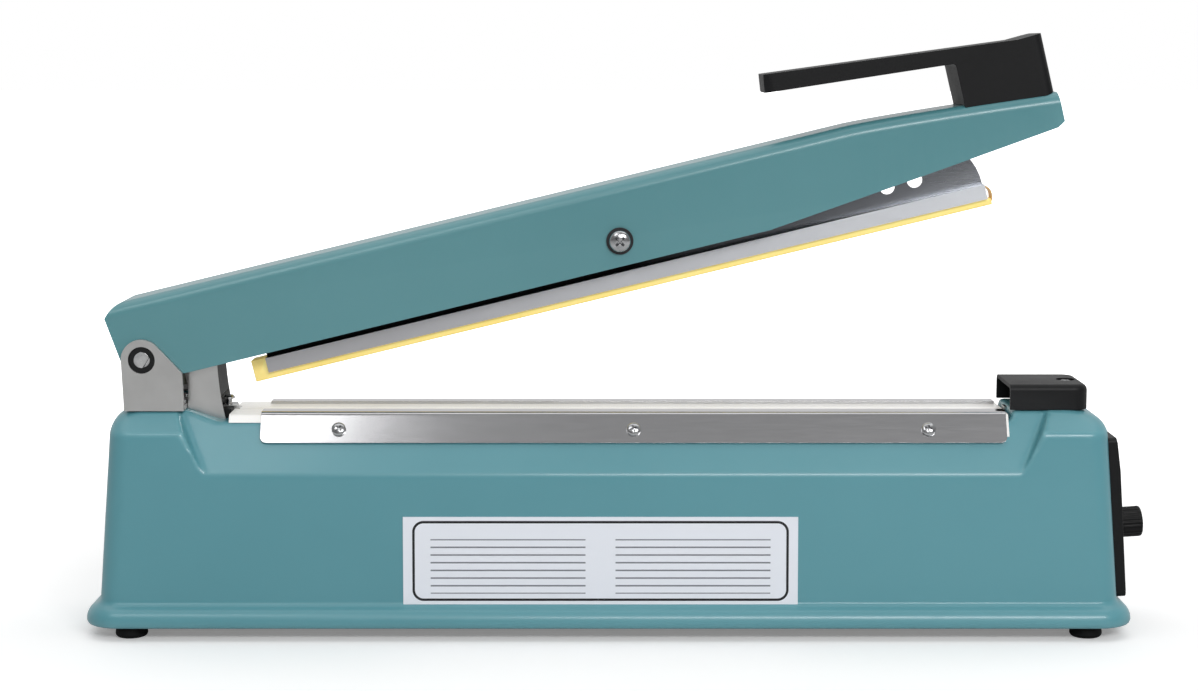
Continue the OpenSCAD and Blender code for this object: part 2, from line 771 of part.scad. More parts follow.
// A sheet guard bent in a U: two cheeks on the housing's step, a curved front and a floor
module spring_guard() {
    front = guard_front();
    inner_half_w = guard_half - guard_t;
    color("#a9aaab") at_base() difference() {
        union() {
            difference() {
                across(2 * guard_half)
                    polygon(concat([[guard_left, base_top], [-step_x, ridge_top]], front,
                                   [[guard_left + guard_t, pin_z + guard_up]]));
                across(2 * inner_half_w)
                    polygon(concat([[guard_left - over, ridge_top - over]],
                                   [for (p = front) p - [guard_t, 0]],
                                   [[-step_x - 2 * guard_foot_out, pin_z + guard_up + over],
                                    [guard_left - over, pin_z + guard_up + over]]));
                translate([block_left - fit_gap, -inner_half_w, ridge_top - over])
                    cube([beam_left - block_left, 2 * inner_half_w, mouth_h + over]);
            }
            translate([guard_left, -guard_half + guard_t / 2, guard_floor_z])
                cube([floor_l, 2 * guard_half - guard_t, guard_t]);
        }
        translate([spring_x, 0, 0])
            cylinder(d = guard_screw_d + 2 * seat_gap, h = 2 * base_top, $fn = fine);
    }
}

block_left = guard_left + floor_l + fit_gap;

module guard_screw() {
    color(steel) at_base() translate([spring_x, 0, guard_floor_z + guard_t])
        pan_screw(guard_screw_d, guard_t + wall + 2 * guard_screw_d, 1.5);
}

// Spring cup, worked out in the arm's frame
cup_x = 23;            // distance of the cup's axis from the pin
cup_up = 14;           // height of its collar's face above the pin's axis, arm closed
cup_r = 6.5;
cup_t = 1.5;
cup_stem_d = 5;
cup_tip_d = 2.4;
cup_tip_h = 3;
spring_foot_z = guard_floor_z + guard_t;
spring_top_z = pin_z + cup_x * sin(open_angle) + cup_up * cos(open_angle)
               - cup_r * sin(open_angle) - slide_gap;

// Height of the spring's wire centre and its coils: one closed turn at each end and open turns between
function coil_z(turn) =
    let (low = spring_wire_d / 2, pitch = spring_wire_d + slide_gap,
         free = spring_top_z - spring_foot_z - spring_wire_d - 2 * pitch, open = spring_turns - 2)
    turn < 1 ? low + pitch * turn
    : turn > spring_turns - 1 ? low + pitch + free + pitch * (turn - spring_turns + 1)
    : low + pitch + free * (turn - 1) / open;

coil_rings = 8;
coil_sides = 6;
coil_gap = slide_gap;

module return_spring() {
    count = spring_turns * coil_rings;
    wire_r = spring_wire_d / 2;
    rings = [for (i = [0 : count])
        let (a = 360 * i / coil_rings, z = coil_z(i / coil_rings))
        [for (j = [0 : coil_sides - 1])
            let (b = 360 * j / coil_sides, r = spring_r + wire_r * cos(b))
            [r * cos(a), r * sin(a), z + wire_r * sin(b)]]];
    echo(spring_least_gap = coil_gap);
    color(steel) at_base() translate([spring_x, 0, spring_foot_z])
        loft([for (ring = rings) [for (j = [coil_sides - 1 : -1 : 0]) ring[j]]]);
}

// Terminals of the heating element
block_front = beam_left - fit_gap;
block_rear = 4;        // how far the block reaches back up the housing's step
block_half = 9.2;
block_top = ridge_top + block_h;
terminal_half = 3;
terminal_reach = 2.2;  // how far the terminals reach over the beam's ends
terminal_xs = [-step_x + 2, beam_right + 9];
terminal_back = 4.5;   // how far a terminal reaches past its screw

// The black block behind the beam, tucked under the guard's floor on the housing's step
module rear_terminal_block() {
    rise = block_rear * (base_top - ridge_top) / step_run;
    under = guard_floor_z - fit_gap;
    color(black) at_base() difference() {
        across(2 * block_half)
            polygon([[-step_x - block_rear, ridge_top + rise], [-step_x, ridge_top],
                     [block_front, ridge_top], [block_front, block_top],
                     [block_left, block_top], [block_left, under],
                     [-step_x - block_rear, under]]);
        lead_holes();
    }
}

module element_terminals() {
    step = beam_left - fit_gap;
    right_step = beam_right + end_air - fit_gap;
    color("#b08d4f") at_base() difference() {
        union() {
            across(2 * terminal_half)
                polygon([[terminal_xs[0] - terminal_reach, block_top], [step, block_top],
                         [step, cloth_top], [beam_left + terminal_reach, cloth_top],
                         [beam_left + terminal_reach, cloth_top + terminal_t],
                         [step + terminal_t, cloth_top + terminal_t],
                         [step + terminal_t, block_top + terminal_t],
                         [terminal_xs[0] - terminal_reach, block_top + terminal_t]]);
            across(2 * terminal_half)
                polygon([[beam_right - terminal_reach, cloth_top], [right_step, cloth_top],
                         [right_step, base_top], [terminal_xs[1] + terminal_back, base_top],
                         [terminal_xs[1] + terminal_back, base_top + terminal_t],
                         [beam_right - terminal_reach, base_top + terminal_t]]);
        }
        lead_holes();
    }
}

module terminal_screws() {
    seats = [block_top + terminal_t, base_top + terminal_t];
    lengths = [block_h + 2 * wall, 2 * wall];
    color(steel) at_base()
        for (i = [0, 1])
            translate([terminal_xs[i], 0, seats[i]])
                pan_screw(terminal_screw_d, terminal_t + lengths[i]);
}

// Terminal cover, worked out
cover_over = 2.1;      // how far the cover reaches over the beam's end
cover_left = beam_right - cover_over;
cover_r = 6;
cover_edge_r = 2.5;
cover_steps = 4;
cover_screw_x = cover_left + cover_l * 0.73;
cover_screw_d = 3;
cover_boss_d = 9.2;
cover_recess = 2;

// The cover's form, let in by the amount given
module cover_form(inset = 0) {
    right = cover_left + cover_l - inset;
    half = cover_d / 2 - inset;
    r = cover_edge_r - inset / 2;
    top = base_top + cover_h - inset;
    foot = inset > 0 ? base_top - over : base_top;
    levels = concat([[foot, 0]],
                    [for (i = [0 : cover_steps]) let (a = 90 * i / cover_steps)
                        [top - r + r * sin(a), r - r * cos(a)]]);
    loft([for (v = levels)
        level(v[0], -cover_left + 2 * cover_r, right - v[1], half - v[1], cover_r - v[1])]);
}

module terminal_cover() {
    color(black) at_base() difference() {
        cover_form();
        difference() {
            cover_form(cover_t);
            translate([cover_screw_x, 0, base_top - 2 * over])
                cylinder(d = cover_boss_d, h = 2 * cover_h, $fn = fine);
        }
        translate([cover_left - cover_l, -cover_d, 0])
            cube([cover_l, 2 * cover_d, 2 * base_top]);
        translate([cover_screw_x, 0, 0])
            cylinder(d = cover_screw_d + 2 * seat_gap, h = 2 * base_top, $fn = fine);
        translate([cover_screw_x, 0, base_top + cover_h - cover_recess])
            cylinder(d = cover_boss_d - cover_t, h = cover_h, $fn = fine);
    }
}

module cover_screw() {
    color(steel) at_base() translate([cover_screw_x, 0, base_top + cover_h - cover_recess])
        pan_screw(cover_screw_d, cover_h - cover_recess + 2 * wall);
}

// Control panel, worked out on the end wall: X out of the wall, Z up it, from the timer's axis
panel_down = 26;       // how far the panel reaches below the axis
panel_r = 2;
panel_thin = 1;        // thickness along the panel's upper edge
panel_taper = 9;       // length of the taper up to that edge
nut_h = 2;
nut_flats_share = 1.75;
lamp_foot = lamp_z - lamp_h / 2;
lamp_proud = 0.2;
lamp_stem = 7;
timer_r = 10;
timer_l = 12;
shaft_in = 9;
knob_base = panel_t + knob_air;
knob_dome = 0.8;
knob_bore_share = 0.8;
wall_in = -wall * cos(end_draft);

module control_panel() {
    top = panel_h - panel_down;
    half = panel_w / 2;
    r = panel_r;
    color(black) on_panel() difference() {
        intersection() {
            across(panel_w)
                polygon([[0, -panel_down], [panel_t, -panel_down], [panel_t, top - panel_taper],
                         [panel_thin, top], [0, top]]);
            along(3 * panel_t)
                polygon(concat(arc([half - r, r - panel_down], r, -90, 0, 4),
                               arc([half - r, top - r], r, 0, 90, 4),
                               arc([r - half, top - r], r, 90, 180, 4),
                               arc([r - half, r - panel_down], r, 180, 270, 4)));
        }
        rotate([0, 90, 0]) {
            translate([0, 0, -over])
                cylinder(d = timer_bush_d + 2 * seat_gap, h = 2 * panel_t, $fn = fine);
            translate([0, 0, -over])
                cylinder(d = timer_bush_d * nut_flats_share / cos(30) + 2 * fit_gap,
                         h = nut_h + fit_gap + over, $fn = fine);
        }
        translate([-over, -lamp_w / 2, lamp_foot]) cube([2 * panel_t, lamp_w, lamp_h]);
    }
}

// The lamp: a smoked lens let into the panel, its stem through the wall
module indicator_lamp() {
    top = panel_h - panel_down;
    foot = lamp_foot + seat_gap;
    head = foot + lamp_h - 2 * seat_gap;
    fall = (panel_t - panel_thin) / panel_taper;
    turn = top - panel_taper;
    color("#8f9190") on_panel() {
        across(lamp_w - 2 * seat_gap)
            polygon([[0, foot], [panel_t + lamp_proud, foot], [panel_t + lamp_proud, turn],
                     [panel_t + lamp_proud - fall * (head - turn), head], [0, head]]);
        translate([-lamp_stem, -(lamp_w - wall) / 2 + seat_gap, lamp_foot + wall / 2 + seat_gap])
            cube([lamp_stem, lamp_w - wall - 2 * seat_gap, lamp_h - wall - 2 * seat_gap]);
    }
}

// The rotary timer: a round body on the inside of the wall, its bushing through wall and panel
module timer_body() {
    color("#5d6063") on_panel() rotate([0, 90, 0]) difference() {
        union() {
            translate([0, 0, wall_in - timer_l])
                cylinder(r = timer_r, h = timer_l, $fn = fine);
            translate([0, 0, wall_in - over])
                cylinder(d = timer_bush_d, h = over - wall_in + panel_t - seat_gap, $fn = fine);
        }
        translate([0, 0, -shaft_in - slide_gap])
            cylinder(d = shaft_d + 2 * run_gap, h = 3 * shaft_in, $fn = fine);
    }
}

module timer_nut() {
    color(steel) on_panel() rotate([0, 90, 0])
        hex_nut(timer_bush_d, nut_h, nut_flats_share);
}

module timer_shaft() {
    color(steel) on_panel() rotate([0, 90, 0]) translate([0, 0, -shaft_in])
        cylinder(d = shaft_d, h = shaft_in + knob_base + knob_l * knob_bore_share, $fn = fine);
}

module timer_knob() {
    r = knob_d / 2;
    e = knob_dome;
    color(black) on_panel() rotate([0, 90, 0]) translate([0, 0, knob_base])
        difference() {
            rotate_extrude($fn = fine)
                polygon([[0, 0], [r, 0], [r, knob_l - 2 * e], [r - e / 2, knob_l - e],
                         [r - 2 * e, knob_l - e / 4], [0, knob_l]]);
            translate([0, 0, -over])
                cylinder(d = shaft_d + 2 * run_gap, h = over + knob_l * knob_bore_share,
                         $fn = fine);
        }
}

// Electrics on the bottom plate
floor_z = foot_h + plate_t;
board_l = 56;
board_gap = 22;        // free depth beside the board, for the lead
board_w = 2 * (wall_half_d - wall) - board_gap;
board_t = 1.6;
board_in = 71;         // distance of the board's middle from the panel end of the skirt
board_x = base_l / 2 - board_in;
board_y = -4;
relay_l = 18;
relay_w = 15;
sink_t = 3;
sink_w = 24;
sink_h = 22;
rail_l = 10;
rail_w = 30;
rail_h = 11;
can_d = 5;
can_h = 14;
board_up = 6;
post_d = 6;
post_in = 5;

module circuit_board() {
    color("#2f5d3a") at_base()
        translate([board_x - board_l / 2, board_y - board_w / 2, floor_z + board_up])
            cube([board_l, board_w, board_t]);
}

// Relay, triac on its heat sink, capacitor and terminal rail on the board, and the posts under it
module board_parts() {
    top = floor_z + board_up + board_t;
    color("#3b4a6b") at_base() translate([board_x, board_y, 0]) {
        for (x = [-1, 1], y = [-1, 1])
            translate([x * (board_l / 2 - post_in), y * (board_w / 2 - post_in), floor_z])
                cylinder(d = post_d, h = board_up, $fn = fine);
        translate([0, 0, top]) {
            translate([relay_l / 4, -relay_w / 2, 0]) cube([relay_l, relay_w, relay_w]);
            translate([-relay_l / 2, -sink_w / 2, 0]) cube([sink_t, sink_w, sink_h]);
            translate([rail_l / 2 - board_l / 2, -rail_w / 2, 0])
                cube([rail_l, rail_w, rail_h]);
            cylinder(d = can_d, h = can_h, $fn = fine);
        }
    }
}

// Transformer, worked out: an upright core with its winding round the middle leg
core_l = 66;
core_h = 55;
coil_air = 2.5;        // air between the winding and the housing's walls
coil_half = wall_y(floor_z + core_h) - wall - coil_air;
core_w_share = 0.6;
core_w = 2 * coil_half * core_w_share;
leg_w = 11;
frame_t = 1.2;
frame_foot = 11;
frame_screw_d = 4;
frame_screw_y = 8;
frame_screw_xs = [for (side = [-1, 1]) vent_x + side * (core_l + frame_foot) / 2];

module transformer_core() {
    color("#4c4f52") at_base() translate([vent_x, 0, floor_z]) across(core_w)
        difference() {
            translate([-core_l / 2, 0]) square([core_l, core_h]);
            for (side = [-1, 1])
                translate([side * 3 * leg_w / 2 - leg_w / 2, leg_w])
                    square([leg_w, core_h - 2 * leg_w]);
        }
}

module transformer_coil() {
    color("#8c5a2b") at_base() translate([vent_x, 0, floor_z + core_h / 2]) difference() {
        cube([4 * leg_w - 2 * fit_gap, 2 * coil_half,
              core_h - 2 * leg_w - 2 * fit_gap], center = true);
        cube([2 * leg_w, core_w, core_h], center = true);
    }
}

// The sheet frame over the core, its feet on the bottom plate
module transformer_frame() {
    half = core_l / 2;
    color("#7d8285") at_base() translate([vent_x, 0, floor_z]) difference() {
        across(core_w)
            polygon([[-half - frame_foot, 0], [-half, 0], [-half, core_h], [half, core_h],
                     [half, 0], [half + frame_foot, 0], [half + frame_foot, frame_t],
                     [half + frame_t, frame_t], [half + frame_t, core_h + frame_t],
                     [-half - frame_t, core_h + frame_t], [-half - frame_t, frame_t],
                     [-half - frame_foot, frame_t]]);
        for (side = [-1, 1], y = [-1, 1])
            translate([side * (core_l + frame_foot) / 2, y * frame_screw_y, -over])
                cylinder(d = frame_screw_d + 2 * seat_gap, h = frame_foot, $fn = fine);
    }
}

module transformer_screws() {
    color(steel) at_base()
        for (x = frame_screw_xs, y = [-1, 1])
            translate([x, y * frame_screw_y, foot_h]) rotate([180, 0, 0])
                pan_screw(frame_screw_d, plate_t + frame_t + frame_screw_d, 1.8, 0.5);
}

// The switch under the hinge, pressed through the bracket when the arm comes down
switch_l = 19.8;
switch_w = 6.4;
switch_h = 10.6;
switch_drop = 5.5;     // from the underside of the housing's top to the switch
holder_t = 1.2;
holder_l = 13.8;
holder_half = 13.5;
plunger_up = 3;        // how far the plunger stands above the bracket's floor
plunger_in = 3;        // how far it reaches down into the switch
plunger_travel = 1.5;
tab_t = 0.8;
tab_h = 6;
switch_top_z = base_top - wall - switch_drop;
plunger_top_z = base_top + bracket_t + plunger_up;

module switch_body() {
    color("#26282b") at_base() translate([switch_x, 0, switch_top_z]) {
        difference() {
            translate([-switch_l / 2, -switch_w / 2, -switch_h])
                cube([switch_l, switch_w, switch_h]);
            translate([0, 0, -plunger_in - plunger_travel - fit_gap])
                cylinder(d = plunger_d + 2 * run_gap, h = switch_h, $fn = fine);
        }
        for (x = [-1, 0, 1])
            translate([x * switch_l / 3 - tab_t / 2, -switch_w / 4, -switch_h - tab_h])
                cube([tab_t, switch_w / 2, tab_h + over]);
    }
}

// Sheet bracket that hangs the switch from the hinge bracket's front screws
module switch_holder() {
    top = base_top - wall;
    right = bracket_mid_x + bracket_screw_x + bracket_screw_d / 2 + seat_gap + fit_gap;
    color("#9fa3a6") at_base() difference() {
        union() {
            translate([right - holder_l, -holder_half, top - holder_t])
                cube([holder_l, 2 * holder_half, holder_t]);
            translate([right - holder_l, switch_w / 2, switch_top_z - switch_h])
                cube([holder_l, holder_t, top - switch_top_z + switch_h]);
        }
        bracket_holes();
        translate([switch_x, 0, 0])
            cylinder(d = plunger_d + 4 * slide_gap, h = 2 * base_top, $fn = fine);
    }
}

module switch_plunger() {
    r = plunger_d / 2;
    h = plunger_top_z - switch_top_z + plunger_in;
    color("#b5382e") at_base() translate([switch_x, 0, switch_top_z - plunger_in])
        rotate_extrude($fn = fine)
            polygon([[0, 0], [r, 0], [r, h - r / 2], [r / 2, h - r / 8], [0, h]]);
}

inlet_flange_d = 16;
inlet_flange_t = 2;
inlet_inside = 3;

// Places a piece on the rear wall at the lead's inlet, Z out of the wall
module at_inlet() {
    translate([inlet_x, wall_y(inlet_z), inlet_z]) rotate([side_draft - 90, 0, 0])
        children();
}

module cord_inlet() {
    color(black) at_base()
        at_inlet() difference() {
            union() {
                cylinder(d = inlet_flange_d, h = inlet_flange_t, $fn = fine);
                translate([0, 0, -wall - inlet_inside])
                    cylinder(d = inlet_d - 2 * seat_gap, h = wall + inlet_inside + over, $fn = fine);
            }
            translate([0, 0, -2 * inlet_d])
                cylinder(d = inlet_bore_d, h = 4 * inlet_d, $fn = fine);
        }
}

label_x = -3.3;        // middle of the label from the middle of the housing
label_z = 14;

module label_plate() {
    top = label_z + label_h * cos(side_draft);
    out = [-label_t * cos(side_draft), label_t * sin(side_draft)];
    color("#22252b") at_base() translate([label_x, 0, 0]) along(label_l)
        polygon([[-wall_y(label_z), label_z], [-wall_y(top), top],
                 [-wall_y(top), top] + out, [-wall_y(label_z), label_z] + out]);
}

// Height of the arm's top above the pin's axis, arm closed
function arm_top(x) =
    x < arm_fall_x ? arm_up : arm_up - arm_fall * pow((x - arm_fall_x) / (arm_l - arm_fall_x), fall_share);

fall_share = 1.25;     // how evenly the top falls towards the front end

// A long form along X with a flat top and rounded or bevelled upper edges, given [x, top] along it
module ridge_form(stations, half, edge, foot, steps) {
    loft([for (s = stations)
        let (x = s[0], top = s[1])
        concat([[x, half, foot], [x, half, top - edge]],
               [for (i = [1 : steps]) let (a = 90 * i / steps)
                   [x, half - edge + edge * cos(a), top - edge + edge * sin(a)]],
               [for (i = [0 : steps - 1]) let (a = 90 + 90 * i / steps)
                   [x, edge - half + edge * cos(a), top - edge + edge * sin(a)]],
               [[x, -half, top - edge], [x, -half, foot]])]);
}

arm_steps = 6;
arm_stations_share = [0, 0.25, 0.5, 0.75, 1];

function arm_stations(drop, out) =
    concat([[-2 * rear_r, arm_up - drop]],
           [for (s = arm_stations_share)
               let (x = arm_fall_x + (arm_l - arm_fall_x) * s) [x, arm_top(x) - drop]],
           [[arm_l + out, arm_top(arm_l) - drop - out * arm_fall / (arm_l - arm_fall_x)]]);

// Side outline of the arm, in X and Z
function arm_outline() =
    concat([[-rear_r - rear_lean, rear_corner_z]],
           arc([0, 0], rear_r, rear_turns[0], rear_turns[1], 6),
           [[rear_r * 2, -arm_down]],
           curve([arm_l - curve_l, curve_foot_up - arm_down], [arm_l - curve_l / 2, curve_pull_up - arm_down],
                 [arm_l - nose_r, nose_up], 10),
           [[arm_l, nose_up + nose_turn], [arm_l, arm_up * 2], [0, arm_up * 2]]);

module arm_form() {
    intersection() {
        ridge_form(arm_stations(0, over), arm_half, arm_edge_r, -2 * arm_down, arm_steps);
        across(arm_w + 2 * over) polygon(arm_outline());
    }
}

// The arm's hollow, open below
module arm_hollow() {
    rear = -rear_r - rear_lean + arm_t;
    intersection() {
        ridge_form(arm_stations(arm_t, over), inner_half, arm_edge_r - arm_t, -3 * arm_down, arm_steps);
        across(arm_w)
            polygon([[rear, rear_corner_z - arm_t], [rear + rear_lean, -3 * arm_down],
                     [arm_l - arm_t, -3 * arm_down], [arm_l - arm_t, 2 * arm_up],
                     [0, 2 * arm_up]]);
    }
}

handle_screw_d = 4;
handle_screw_l = 12;
handle_screws_in = [10, 27];   // places of the handle's screws, back from the arm's front end

module arm_shell() {
    color(teal) on_arm() difference() {
        arm_form();
        arm_hollow();
        rod_y(bush_d, -arm_w, arm_w);
        translate([rock_x, 0, rock_up]) rod_y(rock_screw_d + 2 * seat_gap, -arm_w, arm_w);
        for (back = handle_screws_in)
            translate([arm_l - back, 0, 0])
                cylinder(d = handle_screw_d + 2 * seat_gap, h = 2 * arm_up, $fn = fine);
    }
}

// The rod that presses the switch when the arm is down
module switch_tappet() {
    foot = plunger_top_z + slide_gap - pin_z;
    color("#c9c6b8") on_arm() translate([pin_x + switch_x, 0, foot])
        cylinder(d = plunger_d + 2 * slide_gap, h = arm_up - arm_t - foot, $fn = fine);
}

module spring_cup() {
    color("#c9c6b8") on_arm() translate([cup_x, 0, cup_up]) {
        cylinder(r = cup_r, h = cup_t, $fn = fine);
        cylinder(d = cup_stem_d, h = arm_up - arm_t - cup_up, $fn = fine);
        translate([0, 0, -cup_tip_h])
            cylinder(d = cup_tip_d, h = cup_tip_h + cup_t, $fn = fine);
    }
}

// Handle, worked out in the arm's frame
handle_in = 1;         // the handle's front lies this far behind the arm's
handle_front = arm_l - handle_in;
block_back = handle_front - block_l;
grip_back = handle_front - handle_l;
crown_l = 10;          // length of the nearly level stretch above the block
crown_fall = 0.3;
tip_top = handle_up - crown_fall + (handle_l - crown_l) * tan(grip_rise);
web_fillet = 14;       // size of the rounding between the grip and the block
grip_under = 3.7;      // the grip's underside by the block lies this far below the front's top
handle_r = 4;
handle_foot = arm_up / 2;

function handle_outline() =
    concat([[handle_front, handle_foot], [handle_front, handle_up],
            [handle_front - crown_l, handle_up - crown_fall],
            [grip_back + handle_in, tip_top], [grip_back, tip_top - grip_t]],
           curve([block_back - web_fillet, handle_up - grip_under],
                 [block_back, handle_up - grip_under - handle_in],
                 [block_back, handle_up - grip_under - web_fillet / 2], 5),
           [[block_back, handle_foot]]);

module handle() {
    r = handle_r;
    half = handle_w / 2;
    turn = handle_front - crown_l;
    color(black) on_arm() difference() {
        intersection() {
            ridge_form([[grip_back - over, tip_top], [turn, handle_up - crown_fall],
                        [handle_front + over, handle_up]],
                       half, grip_bevel, 0, 1);
            across(handle_w + 2 * over) polygon(handle_outline());
            linear_extrude(3 * arm_up)
                polygon(concat(arc([grip_back + r, r - half], r, 180, 270, 4),
                               arc([handle_front - r, r - half], r, 270, 360, 4),
                               arc([handle_front - r, half - r], r, 0, 90, 4),
                               arc([grip_back + r, half - r], r, 90, 180, 4)));
        }
        arm_form();
        for (back = handle_screws_in)
            translate([arm_l - back, 0, 0])
                cylinder(d = handle_screw_d + 2 * seat_gap, h = arm_up + handle_screw_l, $fn = fine);
    }
}

module handle_screws() {
    color(steel) on_arm()
        for (back = handle_screws_in)
            translate([arm_l - back, 0, arm_top(arm_l - back + handle_screw_d) - arm_t])
                rotate([180, 0, 0]) pan_screw(handle_screw_d, handle_screw_l, 1.9, 0.5);
}

// Places a piece on the centre screw's axis, Z towards the rear
module on_rock() {
    on_arm()
        translate([rock_x, 0, rock_up]) rotate([-90, 0, 0]) children();
}

washer_t = 1;
washer_d = 10.8;
rock_nut_h = 4;

module rock_screw() {
    color("#b9bcc0") on_rock() translate([0, 0, -arm_half - washer_t]) rotate([180, 0, 0])
        pan_screw(rock_screw_d, arm_w + 2 * washer_t + rock_nut_h + washer_t, 1.43, 0.5);
}

module rock_nut() {
    color(steel) on_rock() translate([0, 0, arm_half + washer_t])
        hex_nut(rock_screw_d, rock_nut_h, 1.67);
}

module rock_washers() {
    color("#3a3b3d") on_rock()
        for (z = [-arm_half - washer_t, arm_half])
            translate([0, 0, z]) difference() {
                cylinder(d = washer_d, h = washer_t, $fn = fine);
                translate([0, 0, -over])
                    cylinder(d = rock_screw_d + 2 * seat_gap, h = 4 * washer_t, $fn = fine);
            }
}

// Tubes on the centre screw that keep the bar's web in the middle of the arm
module rock_spacers() {
    inner = web_t / 2 + slide_gap;
    color(steel) on_rock()
        for (z = [-inner_half, inner])
            translate([0, 0, z]) difference() {
                cylinder(d = washer_d, h = inner_half - inner, $fn = fine);
                translate([0, 0, -over])
                    cylinder(d = rock_screw_d + 2 * seat_gap, h = 2 * inner_half, $fn = fine);
            }
}

// Pressure bar, in the arm's frame
channel_right = channel_x + channel_l;
flange_w = 6.5;
flange_t = 1.5;
rivet_d = 3;
rivets = 6;
rivet_y = 3.6;
web_front_l = 45;      // how far from its front end the web's top starts to fall
web_front_h = 15;

module bar_web() {
    right = channel_right;
    round_arc = [for (i = [0 : 8]) let (a = 90 * i / 8)
        [right - web_round_l + web_round_l * cos(a), channel_top + web_round_h * sin(a)]];
    color("#b7babd") on_arm() difference() {
        union() {
            across(web_t)
                polygon(concat([[channel_x, channel_top]], round_arc,
                               [[right - web_front_l, web_top], [channel_x, web_top]]));
            translate([channel_x, 0, channel_top])
                cube([channel_l - web_round_l, flange_w, flange_t]);
        }
        translate([rock_x, 0, rock_up]) rod_y(rock_screw_d + 2 * run_gap, -arm_w, arm_w);
        for (x = web_holes_back)
            translate([right - x, 0, -web_hole_down]) rod_y(web_hole_d, -arm_w, arm_w);
        bar_rivet_places()
            cylinder(d = rivet_d, h = 4 * flange_t, center = true, $fn = fine);
    }
}

module bar_rivet_places() {
    for (i = [0 : rivets - 1])
        translate([channel_x + channel_l * (i + 0.5) / rivets - web_round_l / 4, rivet_y, channel_top])
            children();
}

module bar_channel() {
    half = channel_w / 2;
    inner = half - channel_t;
    color("#d3d5d6") on_arm() difference() {
        translate([channel_x + channel_l / 2, 0, 0]) along(channel_l)
            polygon([[-half, channel_foot], [-inner, channel_foot],
                     [-inner, channel_top - channel_t], [inner, channel_top - channel_t],
                     [inner, channel_foot], [half, channel_foot],
                     [half, channel_top], [-half, channel_top]]);
        bar_rivet_places()
            cylinder(d = rivet_d, h = 4 * flange_t, center = true, $fn = fine);
    }
}

module bar_rivets() {
    color(steel) on_arm()
        bar_rivet_places() {
            translate([0, 0, -channel_t])
                cylinder(d = rivet_d, h = channel_t + flange_t, $fn = fine);
            translate([0, 0, flange_t])
                cylinder(d1 = rivet_d * 1.6, d2 = rivet_d, h = channel_t / 2, $fn = fine);
        }
}

module silicone_strip() {
    left = channel_x - rubber_left;
    right = channel_right + rubber_right;
    color("#c9b06a") on_arm() translate([0, -rubber_half, -face_down]) {
        translate([left, 0, 0]) cube([right - left, 2 * rubber_half, rubber_out]);
        translate([channel_x, 0, 0])
            cube([channel_l, 2 * rubber_half, rubber_out + channel_h - channel_t]);
        translate([left, 0, 0])
            cube([rubber_left, 2 * rubber_half, rubber_out + channel_h + channel_t / 5]);
    }
}

tape_t = 0.3;
tape_w = 8;

// The end of the yellow tape, which bulges out over the bar's front end
module end_tape() {
    top = [channel_right, channel_top - tape_t];
    low = [channel_right + rubber_right + tape_t, channel_foot - rubber_out / 2];
    pull = [channel_right + 2.4 * rubber_right, channel_top - rubber_out];
    bulge = curve(top, pull, low, 6);
    color("#c9a24a") on_arm() across(tape_w)
        polygon(concat(bulge, [for (i = [6 : -1 : 0]) bulge[i] - [i == 0 ? 0 : tape_t, tape_t]]));
}

base_shell();
bottom_plate();
rubber_feet();
foot_screws();
seal_beam();
heating_element();
release_cloth();
front_clamp_strip();
rear_clamp_strip();
clamp_screws();
hinge_bracket();
bracket_screws();
ear_bushes();
hinge_pin();
pin_clips();
spring_guard();
guard_screw();
return_spring();
rear_terminal_block();
element_terminals();
terminal_screws();
terminal_cover();
cover_screw();
control_panel();
indicator_lamp();
timer_body();
timer_nut();
timer_shaft();
timer_knob();
circuit_board();
board_parts();
transformer_core();
transformer_coil();
transformer_frame();
transformer_screws();
switch_body();
switch_holder();
switch_plunger();
cord_inlet();
label_plate();
arm_shell();
arm_bushes();
switch_tappet();
spring_cup();
handle();
handle_screws();
rock_screw();
rock_nut();
rock_washers();
rock_spacers();
bar_web();
bar_channel();
bar_rivets();
silicone_strip();
end_tape();
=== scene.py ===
import json
import logging
from collections.abc import Callable, Iterable, Sequence
from dataclasses import dataclass
from enum import Enum
from functools import cache
from math import atan2, copysign, cos, dist, hypot, pi, radians, sin, sqrt, tan

import bmesh
import bpy
from mathutils import Matrix, Vector

